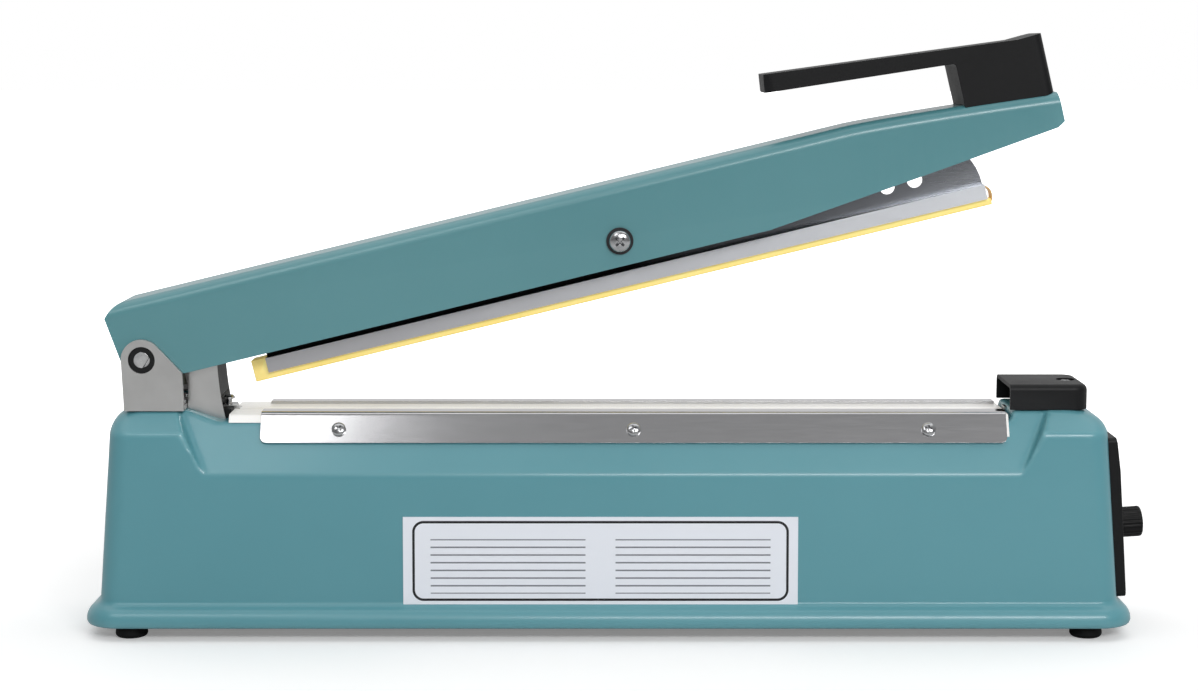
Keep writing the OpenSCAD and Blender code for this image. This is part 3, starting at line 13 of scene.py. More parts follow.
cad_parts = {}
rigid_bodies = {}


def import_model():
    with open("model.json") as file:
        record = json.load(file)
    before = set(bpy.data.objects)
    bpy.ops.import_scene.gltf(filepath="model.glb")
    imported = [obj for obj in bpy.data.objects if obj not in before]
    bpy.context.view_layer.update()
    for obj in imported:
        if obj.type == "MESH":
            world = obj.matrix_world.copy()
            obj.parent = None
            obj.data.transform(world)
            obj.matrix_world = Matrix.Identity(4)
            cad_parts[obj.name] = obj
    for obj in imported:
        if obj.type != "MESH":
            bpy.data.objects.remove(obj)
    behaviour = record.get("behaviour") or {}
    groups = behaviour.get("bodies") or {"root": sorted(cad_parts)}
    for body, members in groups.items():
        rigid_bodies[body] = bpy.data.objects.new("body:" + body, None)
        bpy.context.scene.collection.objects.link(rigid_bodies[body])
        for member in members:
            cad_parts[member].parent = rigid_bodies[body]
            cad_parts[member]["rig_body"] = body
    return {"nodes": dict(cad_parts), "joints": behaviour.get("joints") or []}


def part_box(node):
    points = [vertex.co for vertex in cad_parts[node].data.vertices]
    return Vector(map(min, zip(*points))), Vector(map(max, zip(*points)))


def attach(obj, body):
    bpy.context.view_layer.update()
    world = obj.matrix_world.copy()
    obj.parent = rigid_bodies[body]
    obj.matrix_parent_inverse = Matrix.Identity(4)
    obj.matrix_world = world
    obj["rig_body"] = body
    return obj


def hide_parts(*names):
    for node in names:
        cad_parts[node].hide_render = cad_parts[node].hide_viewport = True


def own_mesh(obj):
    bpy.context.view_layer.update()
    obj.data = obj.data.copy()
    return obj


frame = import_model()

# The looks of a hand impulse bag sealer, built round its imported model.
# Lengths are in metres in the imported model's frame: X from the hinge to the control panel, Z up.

LOG = logging.getLogger("bag_sealer")
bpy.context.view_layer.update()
MM = 0.001

Point = tuple[float, float]
Place = tuple[float, float, float]
Colour = Place
Shade = tuple[float, float, float, float]
Outline = list[Point]
Ring = list[Place]
Rule = Callable[[Vector], Vector]
Piece = bpy.types.Object
Socket = bpy.types.NodeSocket
Sockets = dict[str, Socket]


def joint(name: str) -> dict:
    """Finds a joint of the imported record."""
    return next(entry for entry in frame["joints"] if entry["name"] == name)


def at(x: float, y: float, z: float, turn: float = 0.0, axis: str = "Z") -> Matrix:
    """The frame at a place, turned about one of its axes by an angle in radians."""
    return Matrix.Translation((x, y, z)) @ Matrix.Rotation(turn, 4, axis)


OPEN_ANGLE = radians(joint("arm_hinge")["range_deg"][1])
ARM_FRAME = at(*joint("arm_hinge")["pos_m"], -OPEN_ANGLE, "Y")
MIDDLE_X = sum(corner.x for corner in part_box("base_shell")) / 2
SIDES = (Matrix.Identity(4), Matrix.Scale(-1, 4, (0, 1, 0)))
RIDGE_HIGH = 86 * MM
RIDGE_HALF = 18.5 * MM
CAST_STEPS = 3
CAST_KEEN = 24.0


# Materials


class Graph:
    """Adds and links the nodes of one node tree."""

    def __init__(self, owner: bpy.types.ID) -> None:
        """Takes a node group, or starts the tree of a material or a world afresh."""
        if not isinstance(owner, bpy.types.NodeTree):
            owner.use_nodes = True
            owner = owner.node_tree
            owner.nodes.clear()
        self.tree = owner

    def add(self, kind: str, inputs: dict[str | int, object] | None = None,
            **settings: object) -> bpy.types.Node:
        """Adds one node.

        Args:
            kind: the node type's name without its common prefix.
            inputs: for an input's name or place, its value or the socket that feeds it.
            settings: the node's own properties.

        Returns:
            The new node.
        """
        node = self.tree.nodes.new("ShaderNode" + kind)
        for name, value in settings.items():
            setattr(node, name, value)
        for key, value in (inputs or {}).items():
            if isinstance(value, Socket):
                self.tree.links.new(value, node.inputs[key])
            else:
                node.inputs[key].default_value = value
        return node

    def math(self, operation: str, *values: object) -> Socket:
        """Adds one step of arithmetic with numbers or sockets."""
        return self.add("Math", dict(enumerate(values)), operation=operation).outputs[0]

    def near(self, value: Socket, middle: float, reach: float) -> Socket:
        """Gives one where a value is within a reach of a middle, and zero elsewhere."""
        return self.math("LESS_THAN", self.math("ABSOLUTE", self.math("SUBTRACT", value, middle)), reach)

    def span(self, value: Socket, low: object, high: object, first: object = 0.0,
             last: object = 1.0) -> Socket:
        """Maps a value from one span to another, held within the second."""
        return self.add("MapRange", {0: value, 1: low, 2: high, 3: first, 4: last}).outputs[0]

    def mix(self, share: object, first: object, second: object) -> Socket:
        """Mixes two colours by the share of the second."""
        return self.add("Mix", {0: share, 6: first, 7: second}, data_type="RGBA").outputs[2]

    def noise(self, place: Socket, scale: Socket, detail: float = 3.0) -> Socket:
        """Adds cloudy noise at a place."""
        return self.add("TexNoise", {"Vector": place, "Scale": scale, "Detail": detail}).outputs[0]


MID_GREY = (0.5, 0.5, 0.5, 1.0)
NOISE_SPAN = (0.35, 0.65)
EDGE_SPAN = (0.51, 0.58)
WEAVE_DETAIL = 4.0
SURFACE_OUTPUTS = {"Color": "Color", "Roughness": "Float", "Height": "Float"}


def worked_surface(graph: Graph, given: Sockets) -> Sockets:
    """Patches of two colours, a grain that may run one way, and convex edges mixed towards an edge colour, a
    painted highlight where that colour is lighter.

    Args:
        graph: where the nodes go.
        given: the group's inputs.

    Returns:
        The sockets of its outputs.
    """
    place = graph.add("TexCoord").outputs["Object"]
    drawn = graph.add("VectorMath", {0: place, 1: given["Stretch"]}, operation="MULTIPLY").outputs[0]
    patch = graph.noise(place, given["Patch scale"])
    grain = graph.noise(drawn, given["Grain scale"])
    colour = graph.mix(graph.span(patch, *NOISE_SPAN), given["Colour"], given["Second colour"])
    # Painted highlight: pointiness picks out convex edges, which take the edge colour.
    point = graph.add("NewGeometry").outputs["Pointiness"]
    edge = graph.math("MULTIPLY", graph.span(point, *EDGE_SPAN), given["Edge share"])
    colour = graph.mix(edge, colour, given["Edge colour"])
    both = graph.math("MULTIPLY_ADD", patch, 0.5, graph.math("MULTIPLY", grain, 0.5))
    rough = graph.span(both, *NOISE_SPAN, given["Rough low"], given["Rough high"])
    return {"Color": colour, "Roughness": rough, "Height": grain}


def woven_glass(graph: Graph, given: Sockets) -> Sockets:
    """A plain weave along X and across it, with patches of a second colour.

    Args:
        graph: where the nodes go.
        given: the group's inputs.

    Returns:
        The sockets of its outputs.
    """
    place = graph.add("TexCoord").outputs["Object"]
    axes = graph.add("SeparateXYZ", {0: place}).outputs
    pitch = given["Thread pitch"]
    waves = []
    for way in (axes["X"], graph.math("SUBTRACT", axes["Y"], axes["Z"])):
        turn = graph.math("MULTIPLY", graph.math("DIVIDE", way, pitch), pi)
        waves.append(graph.math("ABSOLUTE", graph.math("COSINE", turn)))
    scale = graph.math("DIVIDE", 1.0, pitch)
    over = graph.add("TexChecker", {"Vector": place, "Scale": scale}).outputs["Fac"]
    height = graph.add("Mix", {0: over, 2: waves[0], 3: waves[1]}, data_type="FLOAT").outputs[0]
    patch = graph.noise(place, given["Patch scale"], WEAVE_DETAIL)
    colour = graph.mix(graph.span(patch, *NOISE_SPAN), given["Colour"], given["Second colour"])
    rough = graph.span(height, 0.0, 1.0, given["Rough high"], given["Rough low"])
    return {"Color": colour, "Roughness": rough, "Height": height}


GROUPS = {
    "worked surface": (worked_surface, {
        "Colour": MID_GREY, "Second colour": MID_GREY, "Edge colour": MID_GREY, "Edge share": 0.0,
        "Patch scale": 20.0, "Grain scale": 500.0, "Stretch": (1.0, 1.0, 1.0), "Rough low": 0.3,
        "Rough high": 0.5}),
    "woven glass": (woven_glass, {
        "Colour": MID_GREY, "Second colour": MID_GREY, "Patch scale": 40.0, "Thread pitch": 0.0006,
        "Rough low": 0.3, "Rough high": 0.5}),
}


@cache
def shader_group(name: str) -> bpy.types.NodeTree:
    """Makes one of the shared node groups when it is first needed.

    Args:
        name: the group's name.

    Returns:
        The group.
    """
    fill, inputs = GROUPS[name]
    group = bpy.data.node_groups.new(name, "ShaderNodeTree")
    for key, value in inputs.items():
        kind = "Float" if isinstance(value, float) else "Vector" if len(value) == 3 else "Color"
        socket = group.interface.new_socket(name=key, in_out="INPUT", socket_type="NodeSocket" + kind)
        socket.default_value = value
    for key, kind in SURFACE_OUTPUTS.items():
        group.interface.new_socket(name=key, in_out="OUTPUT", socket_type="NodeSocket" + kind)
    start = group.nodes.new("NodeGroupInput")
    end = group.nodes.new("NodeGroupOutput")
    for key, socket in fill(Graph(group), {key: start.outputs[key] for key in inputs}).items():
        group.links.new(socket, end.inputs[key])
    return group


def linear(colour: Colour) -> Shade:
    """Turns a display colour from 0 to 255 into the shader's own, with an alpha of one."""
    shares = (value / 255 for value in colour)
    return *(s / 12.92 if s <= 0.04045 else ((s + 0.055) / 1.055) ** 2.4 for s in shares), 1.0


class Pattern(Enum):
    """What a finish is patterned with."""

    WORKED = "worked"
    # Painted shade: the colour turns to the edge colour towards one end.
    SHADED = "shaded"
    WOVEN = "woven"
    PRINTED = "printed"


@dataclass(frozen=True)
class Finish:
    """How one material of the sealer looks.

    Colours are display colours from 0 to 255, scales are per metre, and depths are in metres.
    """

    colour: Colour
    second: Colour
    rough: Point
    # The edge colour paints highlights on convex edges in its share, and darker golden edges on the rubber;
    # the painted-shade pattern darkens towards it, and the label draws its ruled lines in it.
    edge: Colour = (255, 255, 255)
    edge_share: float = 0.0
    pattern: Pattern = Pattern.WORKED
    metallic: float = 0.0
    coat: float = 0.0
    coat_rough: float = 0.05
    ior: float = 1.5
    patch_scale: float = 18.0
    grain_scale: float = 1500.0
    stretch: Place = (1.0, 1.0, 1.0)
    grain_depth: float = 0.00001
    thread: float = 0.0006
    subsurface: float = 0.0
    subsurface_reach: Place = (0.004, 0.003, 0.0015)
    # Glow is painted light: emission in the surface's own colour, though the part is no lamp.
    glow: float = 0.0
    # The span, and the direction in the piece's own frame, over which the painted shade gives way to the
    # finish's own colour.
    fade: Point = (0.0, 1.0)
    painted_shade_way: Place = (1.0, 0.0, 0.0)

    def material(self, name: str) -> bpy.types.Material:
        """Makes the finish's material.

        Args:
            name: the material's name.

        Returns:
            The material.
        """
        made = bpy.data.materials.new(name)
        graph = Graph(made)
        printed = self.pattern is Pattern.PRINTED
        surface = printed_form(graph, self) if printed else self.patterned(graph)
        bump = graph.add("Bump", {"Height": surface["Height"], "Distance": self.grain_depth,
                                  "Strength": 1.0})
        # Emission in the surface's own colour is painted light on the parts given a glow, the cloth and the
        # rubber.
        shader = graph.add("BsdfPrincipled", {
            "Base Color": surface["Color"], "Roughness": surface["Roughness"],
            "Normal": bump.outputs[0], "Metallic": self.metallic, "IOR": self.ior,
            "Coat Weight": self.coat, "Coat Roughness": self.coat_rough,
            "Subsurface Weight": self.subsurface, "Subsurface Radius": self.subsurface_reach,
            "Emission Color": surface["Color"], "Emission Strength": self.glow})
        graph.add("OutputMaterial", {"Surface": shader.outputs[0]})
        return made

    def patterned(self, graph: Graph) -> Sockets:
        """Places the finish's shared group with its own values.

        Args:
            graph: the material's nodes.

        Returns:
            The sockets of the surface's colour, roughness and height.
        """
        values = {"Colour": linear(self.colour), "Second colour": linear(self.second),
                  "Patch scale": self.patch_scale, "Rough low": self.rough[0],
                  "Rough high": self.rough[1]}
        woven = self.pattern is Pattern.WOVEN
        values |= {"Thread pitch": self.thread} if woven else {
            "Edge colour": linear(self.edge), "Edge share": self.edge_share,
            "Grain scale": self.grain_scale, "Stretch": self.stretch}
        group = shader_group("woven glass" if woven else "worked surface")
        node = graph.add("Group", values, node_tree=group)
        found = {key: node.outputs[key] for key in SURFACE_OUTPUTS}
        # Painted shade: below the fade span the colour is the edge colour, a darker tone that stands in for
        # shade; above it the colour is the finish's own.
        if self.pattern is Pattern.SHADED:
            place = graph.add("TexCoord").outputs["Object"]
            along = graph.add("VectorMath", {0: place, 1: self.painted_shade_way}, operation="DOT_PRODUCT")
            clear = graph.span(along.outputs["Value"], *self.fade)
            found["Color"] = graph.mix(clear, linear(self.edge), found["Color"])
        return found


def printed_form(graph: Graph, finish: Finish) -> Sockets:
    """A blank printed form: a dark rounded border and thin ruled lines in two columns.

    Args:
        graph: the material's nodes.
        finish: the plate's colour, the border's as its second and the lines' as its edge colour.

    Returns:
        The sockets of the surface's colour, roughness and height.
    """
    low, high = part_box("label_plate")
    centre, half = (low + high) / 2, (high - low) / 2
    inset_x, inset_z, radius, border_half = 4.2 * MM, 2.1 * MM, 4 * MM, 0.5 * MM
    row_pitch, rows_down, rows_half, line_share, ink = 3.1 * MM, 2.2 * MM, 11 * MM, 0.1, 0.85
    column_out, column_half = 37 * MM, 31 * MM
    axes = graph.add("SeparateXYZ", {0: graph.add("TexCoord").outputs["Object"]}).outputs
    off, squares = {}, []
    for key, middle, reach in (("X", centre.x, half.x - inset_x), ("Z", centre.z, half.z - inset_z)):
        off[key] = graph.math("SUBTRACT", axes[key], middle)
        past = graph.math("SUBTRACT", graph.math("ABSOLUTE", off[key]), reach - radius)
        outside = graph.math("MAXIMUM", past, 0.0)
        squares.append(graph.math("MULTIPLY", outside, outside))
    border = graph.near(graph.math("SQRT", graph.math("ADD", *squares)), radius, border_half)
    row = graph.math("FRACT", graph.math("DIVIDE", graph.math("ADD", off["Z"], half.z), row_pitch))
    ruled = graph.near(row, 0.5, line_share)
    in_rows = graph.near(off["Z"], -rows_down, rows_half)
    in_column = graph.near(graph.math("ABSOLUTE", off["X"]), column_out, column_half)
    rules = graph.math("MULTIPLY", graph.math("MULTIPLY", ruled, in_rows), in_column)
    colour = graph.mix(graph.math("MULTIPLY", rules, ink), linear(finish.colour), linear(finish.edge))
    colour = graph.mix(border, colour, linear(finish.second))
    grain = graph.add("TexNoise", {"Scale": finish.grain_scale}).outputs[0]
    rough = graph.span(grain, *NOISE_SPAN, *finish.rough)
    return {"Color": colour, "Roughness": rough, "Height": grain}


ALONG_X = (0.04, 1.0, 1.0)
ALONG_Z = (1.0, 1.0, 0.05)

FINISHES: dict[str, Finish] = {
    "teal_paint": Finish((88, 151, 162), (92, 155, 166), (0.32, 0.42), (150, 202, 210), 0.4, coat=0.3,
        coat_rough=0.14, patch_scale=9.0, grain_scale=240.0, grain_depth=0.000035),
    # The arm's paint is the housing's teal, made a little darker as painted shade.
    "arm_paint": Finish((78, 137, 144), (82, 141, 148), (0.34, 0.44), (140, 190, 196), 0.3, coat=0.5,
        coat_rough=0.2, patch_scale=9.0, grain_scale=240.0, grain_depth=0.000035),
    "zinc_sheet": Finish((150, 154, 156), (128, 132, 134), (0.38, 0.55), metallic=1.0, patch_scale=90.0,
        grain_scale=900.0, stretch=ALONG_X),
    "hinge_sheet": Finish((206, 206, 205), (196, 196, 195), (0.28, 0.38), (226, 226, 224), 0.0,
        metallic=1.0, patch_scale=60.0, grain_scale=1800.0, stretch=ALONG_Z),
    "strip_steel": Finish((190, 190, 192), (182, 182, 184), (0.13, 0.19), (244, 244, 246), 0.1,
        metallic=1.0, patch_scale=20.0, grain_scale=2200.0, stretch=ALONG_X, grain_depth=0.000002),
    # Painted shade: the web is near black towards the hinge end and up under the arm, and bright steel
    # towards its front end.
    "web_steel": Finish((186, 189, 196), (182, 185, 192), (0.26, 0.32), (18, 18, 19), 0.0,
        pattern=Pattern.SHADED, fade=(-0.215, -0.095), painted_shade_way=(1.0, 0.0, -1.5), metallic=1.0,
        patch_scale=24.0, grain_scale=2200.0, stretch=ALONG_X, grain_depth=0.0000002),
    "fastener": Finish((190, 191, 193), (166, 167, 169), (0.15, 0.26), (235, 235, 235), 0.5, metallic=1.0,
        patch_scale=300.0, grain_scale=2500.0),
    "beam_alloy": Finish((206, 207, 209), (194, 195, 197), (0.30, 0.42), metallic=1.0, grain_scale=2200.0,
        stretch=ALONG_X),
    # Painted shade: the channel is darker towards its hinge end.
    "channel_alloy": Finish((232, 235, 240), (226, 229, 234), (0.34, 0.44), (194, 194, 197), 0.0,
        pattern=Pattern.SHADED, fade=(-0.10, 0.16), metallic=1.0, patch_scale=30.0, grain_scale=2200.0,
        stretch=ALONG_X, grain_depth=0.000004),
    "element": Finish((150, 144, 136), (128, 122, 116), (0.30, 0.45), metallic=1.0, grain_scale=2500.0,
        stretch=ALONG_X),
    "brass": Finish((196, 196, 194), (182, 182, 180), (0.25, 0.38), (230, 230, 228), 0.4, metallic=1.0,
        patch_scale=200.0, grain_scale=2500.0),
    # Painted light: the cloth glows in its own colour to look brighter.
    "cloth": Finish((238, 237, 235), (231, 230, 226), (0.20, 0.30), pattern=Pattern.WOVEN, thread=0.0007,
        grain_depth=0.00001, glow=0.26),
    "tape": Finish((226, 184, 92), (212, 168, 74), (0.28, 0.42), pattern=Pattern.WOVEN, thread=0.0006,
        grain_depth=0.00002, coat=0.3),
    # Painted light: the rubber glows in its own colour to look brighter; its edge colour makes its rounded
    # edges darker golden.
    "silicone": Finish((255, 240, 158), (250, 232, 140), (0.40, 0.55), (226, 186, 84), 0.7,
        patch_scale=30.0, grain_scale=900.0, stretch=ALONG_X, subsurface=0.2, glow=0.3),
    "foot_rubber": Finish((11, 11, 12), (8, 8, 9), (0.60, 0.80), (30, 30, 31), 0.3, ior=1.3,
        patch_scale=200.0, grain_scale=1800.0, grain_depth=0.00003),
    "black_plastic": Finish((7, 7, 8), (5, 5, 6), (0.40, 0.52), (44, 45, 47), 0.5, ior=1.3,
        patch_scale=60.0, grain_depth=0.00002),
    "grey_plastic": Finish((96, 99, 102), (84, 87, 90), (0.40, 0.55)),
    "dark_plastic": Finish((16, 17, 19), (12, 13, 15), (0.38, 0.52), ior=1.38),
    "pale_plastic": Finish((206, 203, 190), (196, 192, 178), (0.40, 0.55), grain_scale=1200.0,
        subsurface=0.1),
    "red_plastic": Finish((176, 52, 44), (160, 44, 38), (0.32, 0.45)),
    "board": Finish((44, 92, 58), (36, 80, 50), (0.35, 0.50), patch_scale=120.0, grain_scale=2000.0),
    "parts": Finish((58, 74, 108), (48, 62, 94), (0.40, 0.55)),
    "iron": Finish((92, 95, 98), (74, 77, 80), (0.40, 0.60), metallic=0.9, grain_scale=2600.0,
        stretch=(1.0, 0.03, 1.0)),
    "winding": Finish((168, 106, 56), (140, 84, 42), (0.35, 0.50), metallic=0.4, coat=0.4,
        grain_scale=2400.0, stretch=ALONG_X),
    "label": Finish((240, 244, 252), (14, 15, 20), (0.34, 0.42), (84, 88, 96), pattern=Pattern.PRINTED,
        grain_scale=900.0, grain_depth=0.000004),
    "dark_washer": Finish((44, 44, 46), (32, 32, 34), (0.35, 0.50), (100, 100, 103), 0.3, metallic=0.8,
        grain_scale=2000.0),
}


@cache
def finish_of(slot: str) -> bpy.types.Material:
    """The material of one of the record's slots."""
    return FINISHES[slot].material("finish_" + slot)


def slot_of(node: str) -> str:
    """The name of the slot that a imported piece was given."""
    return frame["nodes"][node].material_slots[0].name.split(".")[0]


# Mesh making


def add_piece(name: str, work: bmesh.types.BMesh) -> Piece:
    """Adds a piece with a mesh that was worked on, and ends the work.

    Args:
        name: the piece's name.
        work: the mesh.

    Returns:
        The new piece.
    """
    mesh = bpy.data.meshes.new(name)
    work.to_mesh(mesh)
    work.free()
    piece = bpy.data.objects.new(name, mesh)
    bpy.context.scene.collection.objects.link(piece)
    return piece


def move(mesh: bpy.types.Mesh, place: Matrix) -> None:
    """Moves a mesh, and keeps its faces outward where it is mirrored."""
    mesh.transform(place)
    if place.determinant() < 0:
        mesh.flip_normals()


def link_mesh(name: str, points: Ring, faces: Sequence[Sequence[int]]) -> Piece:
    """Makes a piece from points and faces, its faces turned outward.

    Args:
        name: the piece's name.
        points: its corners.
        faces: the places of each face's corners in the list.

    Returns:
        The new piece.
    """
    mesh = bpy.data.meshes.new(name)
    mesh.from_pydata(points, [], faces)
    work = bmesh.new()
    work.from_mesh(mesh)
    bpy.data.meshes.remove(mesh)
    bmesh.ops.recalc_face_normals(work, faces=work.faces)
    return add_piece(name, work)


def loft(name: str, rings: Sequence[Ring], place: Matrix | None = None) -> Piece:
    """Makes a closed solid through rings of as many points each.

    Args:
        name: the piece's name.
        rings: the rings from one end to the other.
        place: where the solid goes.

    Returns:
        The new piece.
    """
    count = len(rings[0])
    last = count * (len(rings) - 1)
    faces = [(i + j, i + (j + 1) % count, i + count + (j + 1) % count, i + count + j)
             for i in range(0, last, count) for j in range(count)]
    faces += [tuple(range(count)), tuple(range(last, last + count))]
    piece = link_mesh(name, [point for ring in rings for point in ring], faces)
    if place:
        move(piece.data, place)
    return piece


def across(name: str, outline: Outline, half: float, place: Matrix | None = None) -> Piece:
    """Makes a prism from an outline in X and Z, which reaches half to either side along Y."""
    return loft(name, [[(x, y, z) for x, z in outline] for y in (-half, half)], place)


def lathe(name: str, profile: Outline, steps: int, place: Matrix | None = None,
          flute: Callable[[float, float], float] = lambda angle, height: 1.0) -> Piece:
    """Turns a profile about Z.

    Args:
        name: the piece's name.
        profile: radius and height of its points, from one end of the axis to the other.
        steps: faces round the axis.
        place: where the piece goes.
        flute: gives the share of the radius that is kept at an angle and height.

    Returns:
        The new piece.
    """
    rings = []
    for radius, height in profile:
        kept = [(2 * pi * j / steps, radius * flute(2 * pi * j / steps, height)) for j in range(steps)]
        rings.append([(reach * cos(angle), reach * sin(angle), height) for angle, reach in kept])
    return loft(name, rings, place)


def arc(centre: Point, radius: float, start: float, end: float, steps: int) -> Outline:
    """Points along an arc between two angles in degrees."""
    angles = (radians(start + (end - start) * i / steps) for i in range(steps + 1))
    return [(centre[0] + radius * cos(a), centre[1] + radius * sin(a)) for a in angles]


def bent(first: Point, pull: Point, last: Point, steps: int) -> Outline:
    """Points along a curve between two points, drawn towards a third."""
    return [tuple((1 - t) ** 2 * a + 2 * t * (1 - t) * b + t * t * c for a, b, c in zip(first, pull, last))
            for t in (i / steps for i in range(steps + 1))]


def round_level(z: float, left: float, right: float, half: float, radius: float, steps: int) -> Ring:
    """One level of a form, seen from above: a rectangle with round corners."""
    corners = ((right - radius, half - radius), (radius - left, half - radius),
               (radius - left, radius - half), (right - radius, radius - half))
    return [(x, y, z) for k, centre in enumerate(corners)
            for x, y in arc(centre, radius, 90 * k, 90 * k + 90, steps)]


def alter(piece: Piece, kind: str, **settings: object) -> None:
    """Puts what a modifier makes of a piece into its mesh.

    Args:
        piece: the piece.
        kind: the modifier's type.
        settings: the modifier's own properties.
    """
    step = piece.modifiers.new(kind, kind)
    for key, value in settings.items():
        setattr(step, key, value)
    bpy.context.view_layer.update()
    mesh = bpy.data.meshes.new_from_object(piece.evaluated_get(bpy.context.evaluated_depsgraph_get()))
    old = piece.data
    piece.modifiers.clear()
    piece.data = mesh
    bpy.data.meshes.remove(old)
    mesh.name = piece.name


def combine(piece: Piece, tool: Piece, operation: str = "DIFFERENCE") -> Piece:
    """Cuts one solid by another, or keeps what both share, and removes the tool.

    Args:
        piece: the solid that stays.
        tool: the other solid, which goes with its mesh.
        operation: what is done with it.

    Returns:
        The changed piece.
    """
    alter(piece, "BOOLEAN", operation=operation, solver="EXACT", object=tool)
    bpy.data.meshes.remove(tool.data)
    return piece


def ease(piece: Piece, width: float, steps: int = 2, keen: float = 30.0) -> Piece:
    """Rounds a piece's sharp edges and shades its faces smoothly between them.

    Args:
        piece: the piece.
        width: width of the rounding.
        steps: faces across it.
        keen: edges sharper than this many degrees are rounded.

    Returns:
        The same piece.
    """
    alter(piece, "BEVEL", width=width, segments=steps, limit_method="ANGLE", angle_limit=radians(keen),
          harden_normals=False, miter_outer="MITER_ARC")
    piece.data.shade_smooth()
    alter(piece, "WEIGHTED_NORMAL", keep_sharp=True)
    return piece


def shade(mesh: bpy.types.Mesh, keen: float) -> None:
    """Shades a mesh smoothly, but for edges sharper than so many degrees."""
    mesh.shade_smooth()
    mesh.set_sharp_from_angle(angle=radians(keen))


def gather(name: str, pattern: Piece, places: Iterable[Matrix]) -> Piece:
    """Makes one piece from copies of a pattern, and removes the pattern.

    Args:
        name: the new piece's name.
        pattern: what is copied.
        places: where each copy goes.

    Returns:
        The new piece.
    """
    work = bmesh.new()
    for place in places:
        copy = pattern.data.copy()
        move(copy, place)
        work.from_mesh(copy)
        bpy.data.meshes.remove(copy)
    bpy.data.meshes.remove(pattern.data)
    return add_piece(name, work)


# Sub-assemblies


@dataclass(frozen=True)
class Screw:
    """A pan-head screw with a cross recess, its seat at the origin and its head up."""

    thread: float
    length: float
    head: float
    rise: float
    threaded: bool = False
    steps: int = 40
    tip: float = 0.02
    crown: Point = (0.4, 0.6)
    under: float = 0.96
    thread_share: float = 0.25
    thread_root: float = 0.86
    thread_edge: float = 0.99
    foot: float = 0.8
    recess: Point = (0.62, 0.13)
    recess_floor: Point = (0.45, 0.25)
    recess_top: Point = (1.0, 1.05)
    keen: float = 38.0

    def build(self) -> Piece:
        """Makes the screw with its dome smooth and its recess keen.

        Returns:
            The screw.
        """
        radius = self.thread / 2
        crown = [(self.head * cos(a), self.rise * (self.crown[0] + self.crown[1] * sin(a)))
                 for a in (pi / 2 * i / 9 for i in range(9))]
        profile = [(self.tip * self.head, self.rise), *reversed(crown), (self.head * self.under, 0),
                   (radius, 0)]
        if self.threaded:
            pitch = self.thread / 6
            turns = int(self.length * self.thread_share / pitch)
            foot = -self.length + turns * pitch
            profile.append((radius, foot))
            for i in range(turns):
                profile.append((radius * self.thread_root, foot - (i + 0.5) * pitch))
                profile.append((radius * self.thread_edge, foot - (i + 1) * pitch + pitch * 0.1))
        profile += [(radius * self.foot, -self.length), (self.tip * radius, -self.length)]
        screw = lathe("screw", profile, self.steps)
        long, wide = (self.head * share for share in self.recess)
        corners = ((-1, -1), (1, -1), (1, 1), (-1, 1))
        recess = [[(x * long * s, y * wide * s, self.rise * z) for x, y in corners]
                  for s, z in (self.recess_floor, self.recess_top)]
        for turn in (0, pi / 2):
            combine(screw, loft("recess", recess, Matrix.Rotation(turn, 4, "Z")))
        shade(screw.data, self.keen)
        return screw


class SubAssembly:
    """Pieces that are made and dressed together."""

    body = "base"

    def seat(self, piece: Piece, slot: str, *nodes: str, body: str = "") -> Piece:
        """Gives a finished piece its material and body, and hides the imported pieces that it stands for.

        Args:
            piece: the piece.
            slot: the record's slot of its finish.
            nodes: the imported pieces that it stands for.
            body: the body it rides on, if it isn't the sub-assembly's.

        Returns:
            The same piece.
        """
        piece.data.materials.clear()
        piece.data.materials.append(finish_of(slot))
        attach(piece, body or self.body)
        if nodes:
            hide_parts(*nodes)
        LOG.info("%s: %d faces on %s", piece.name, len(piece.data.polygons), body or self.body)
        return piece

    def screws(self, name: str, node: str, screw: Screw, *places: Matrix, body: str = "") -> None:
        """Sets copies of a screw in their places, as one piece for a packed one."""
        self.seat(gather(name, screw.build(), places), "fastener", node, body=body)

    def eased(self, node: str, name: str, width: float, steps: int = 2, keen: float = 30.0,
              rule: Rule | None = None) -> Piece:
        """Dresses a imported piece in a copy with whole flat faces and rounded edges.

        Args:
            node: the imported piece.
            name: the copy's name.
            width: width of the rounding.
            steps: faces across it.
            keen: edges sharper than this many degrees are rounded.
            rule: moves each corner first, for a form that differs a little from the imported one.

        Returns:
            The new piece.
        """
        same_point, flat = 2e-6, radians(0.8)
        work = bmesh.new()
        work.from_mesh(frame["nodes"][node].data)
        bmesh.ops.remove_doubles(work, verts=work.verts, dist=same_point)
        bmesh.ops.dissolve_limit(work, angle_limit=flat, verts=work.verts, edges=work.edges)
        for vertex in work.verts if rule else ():
            vertex.co = rule(vertex.co.copy())
        piece = ease(add_piece(name, work), width, steps, keen)
        return self.seat(piece, slot_of(node), node, body=frame["nodes"][node]["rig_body"])


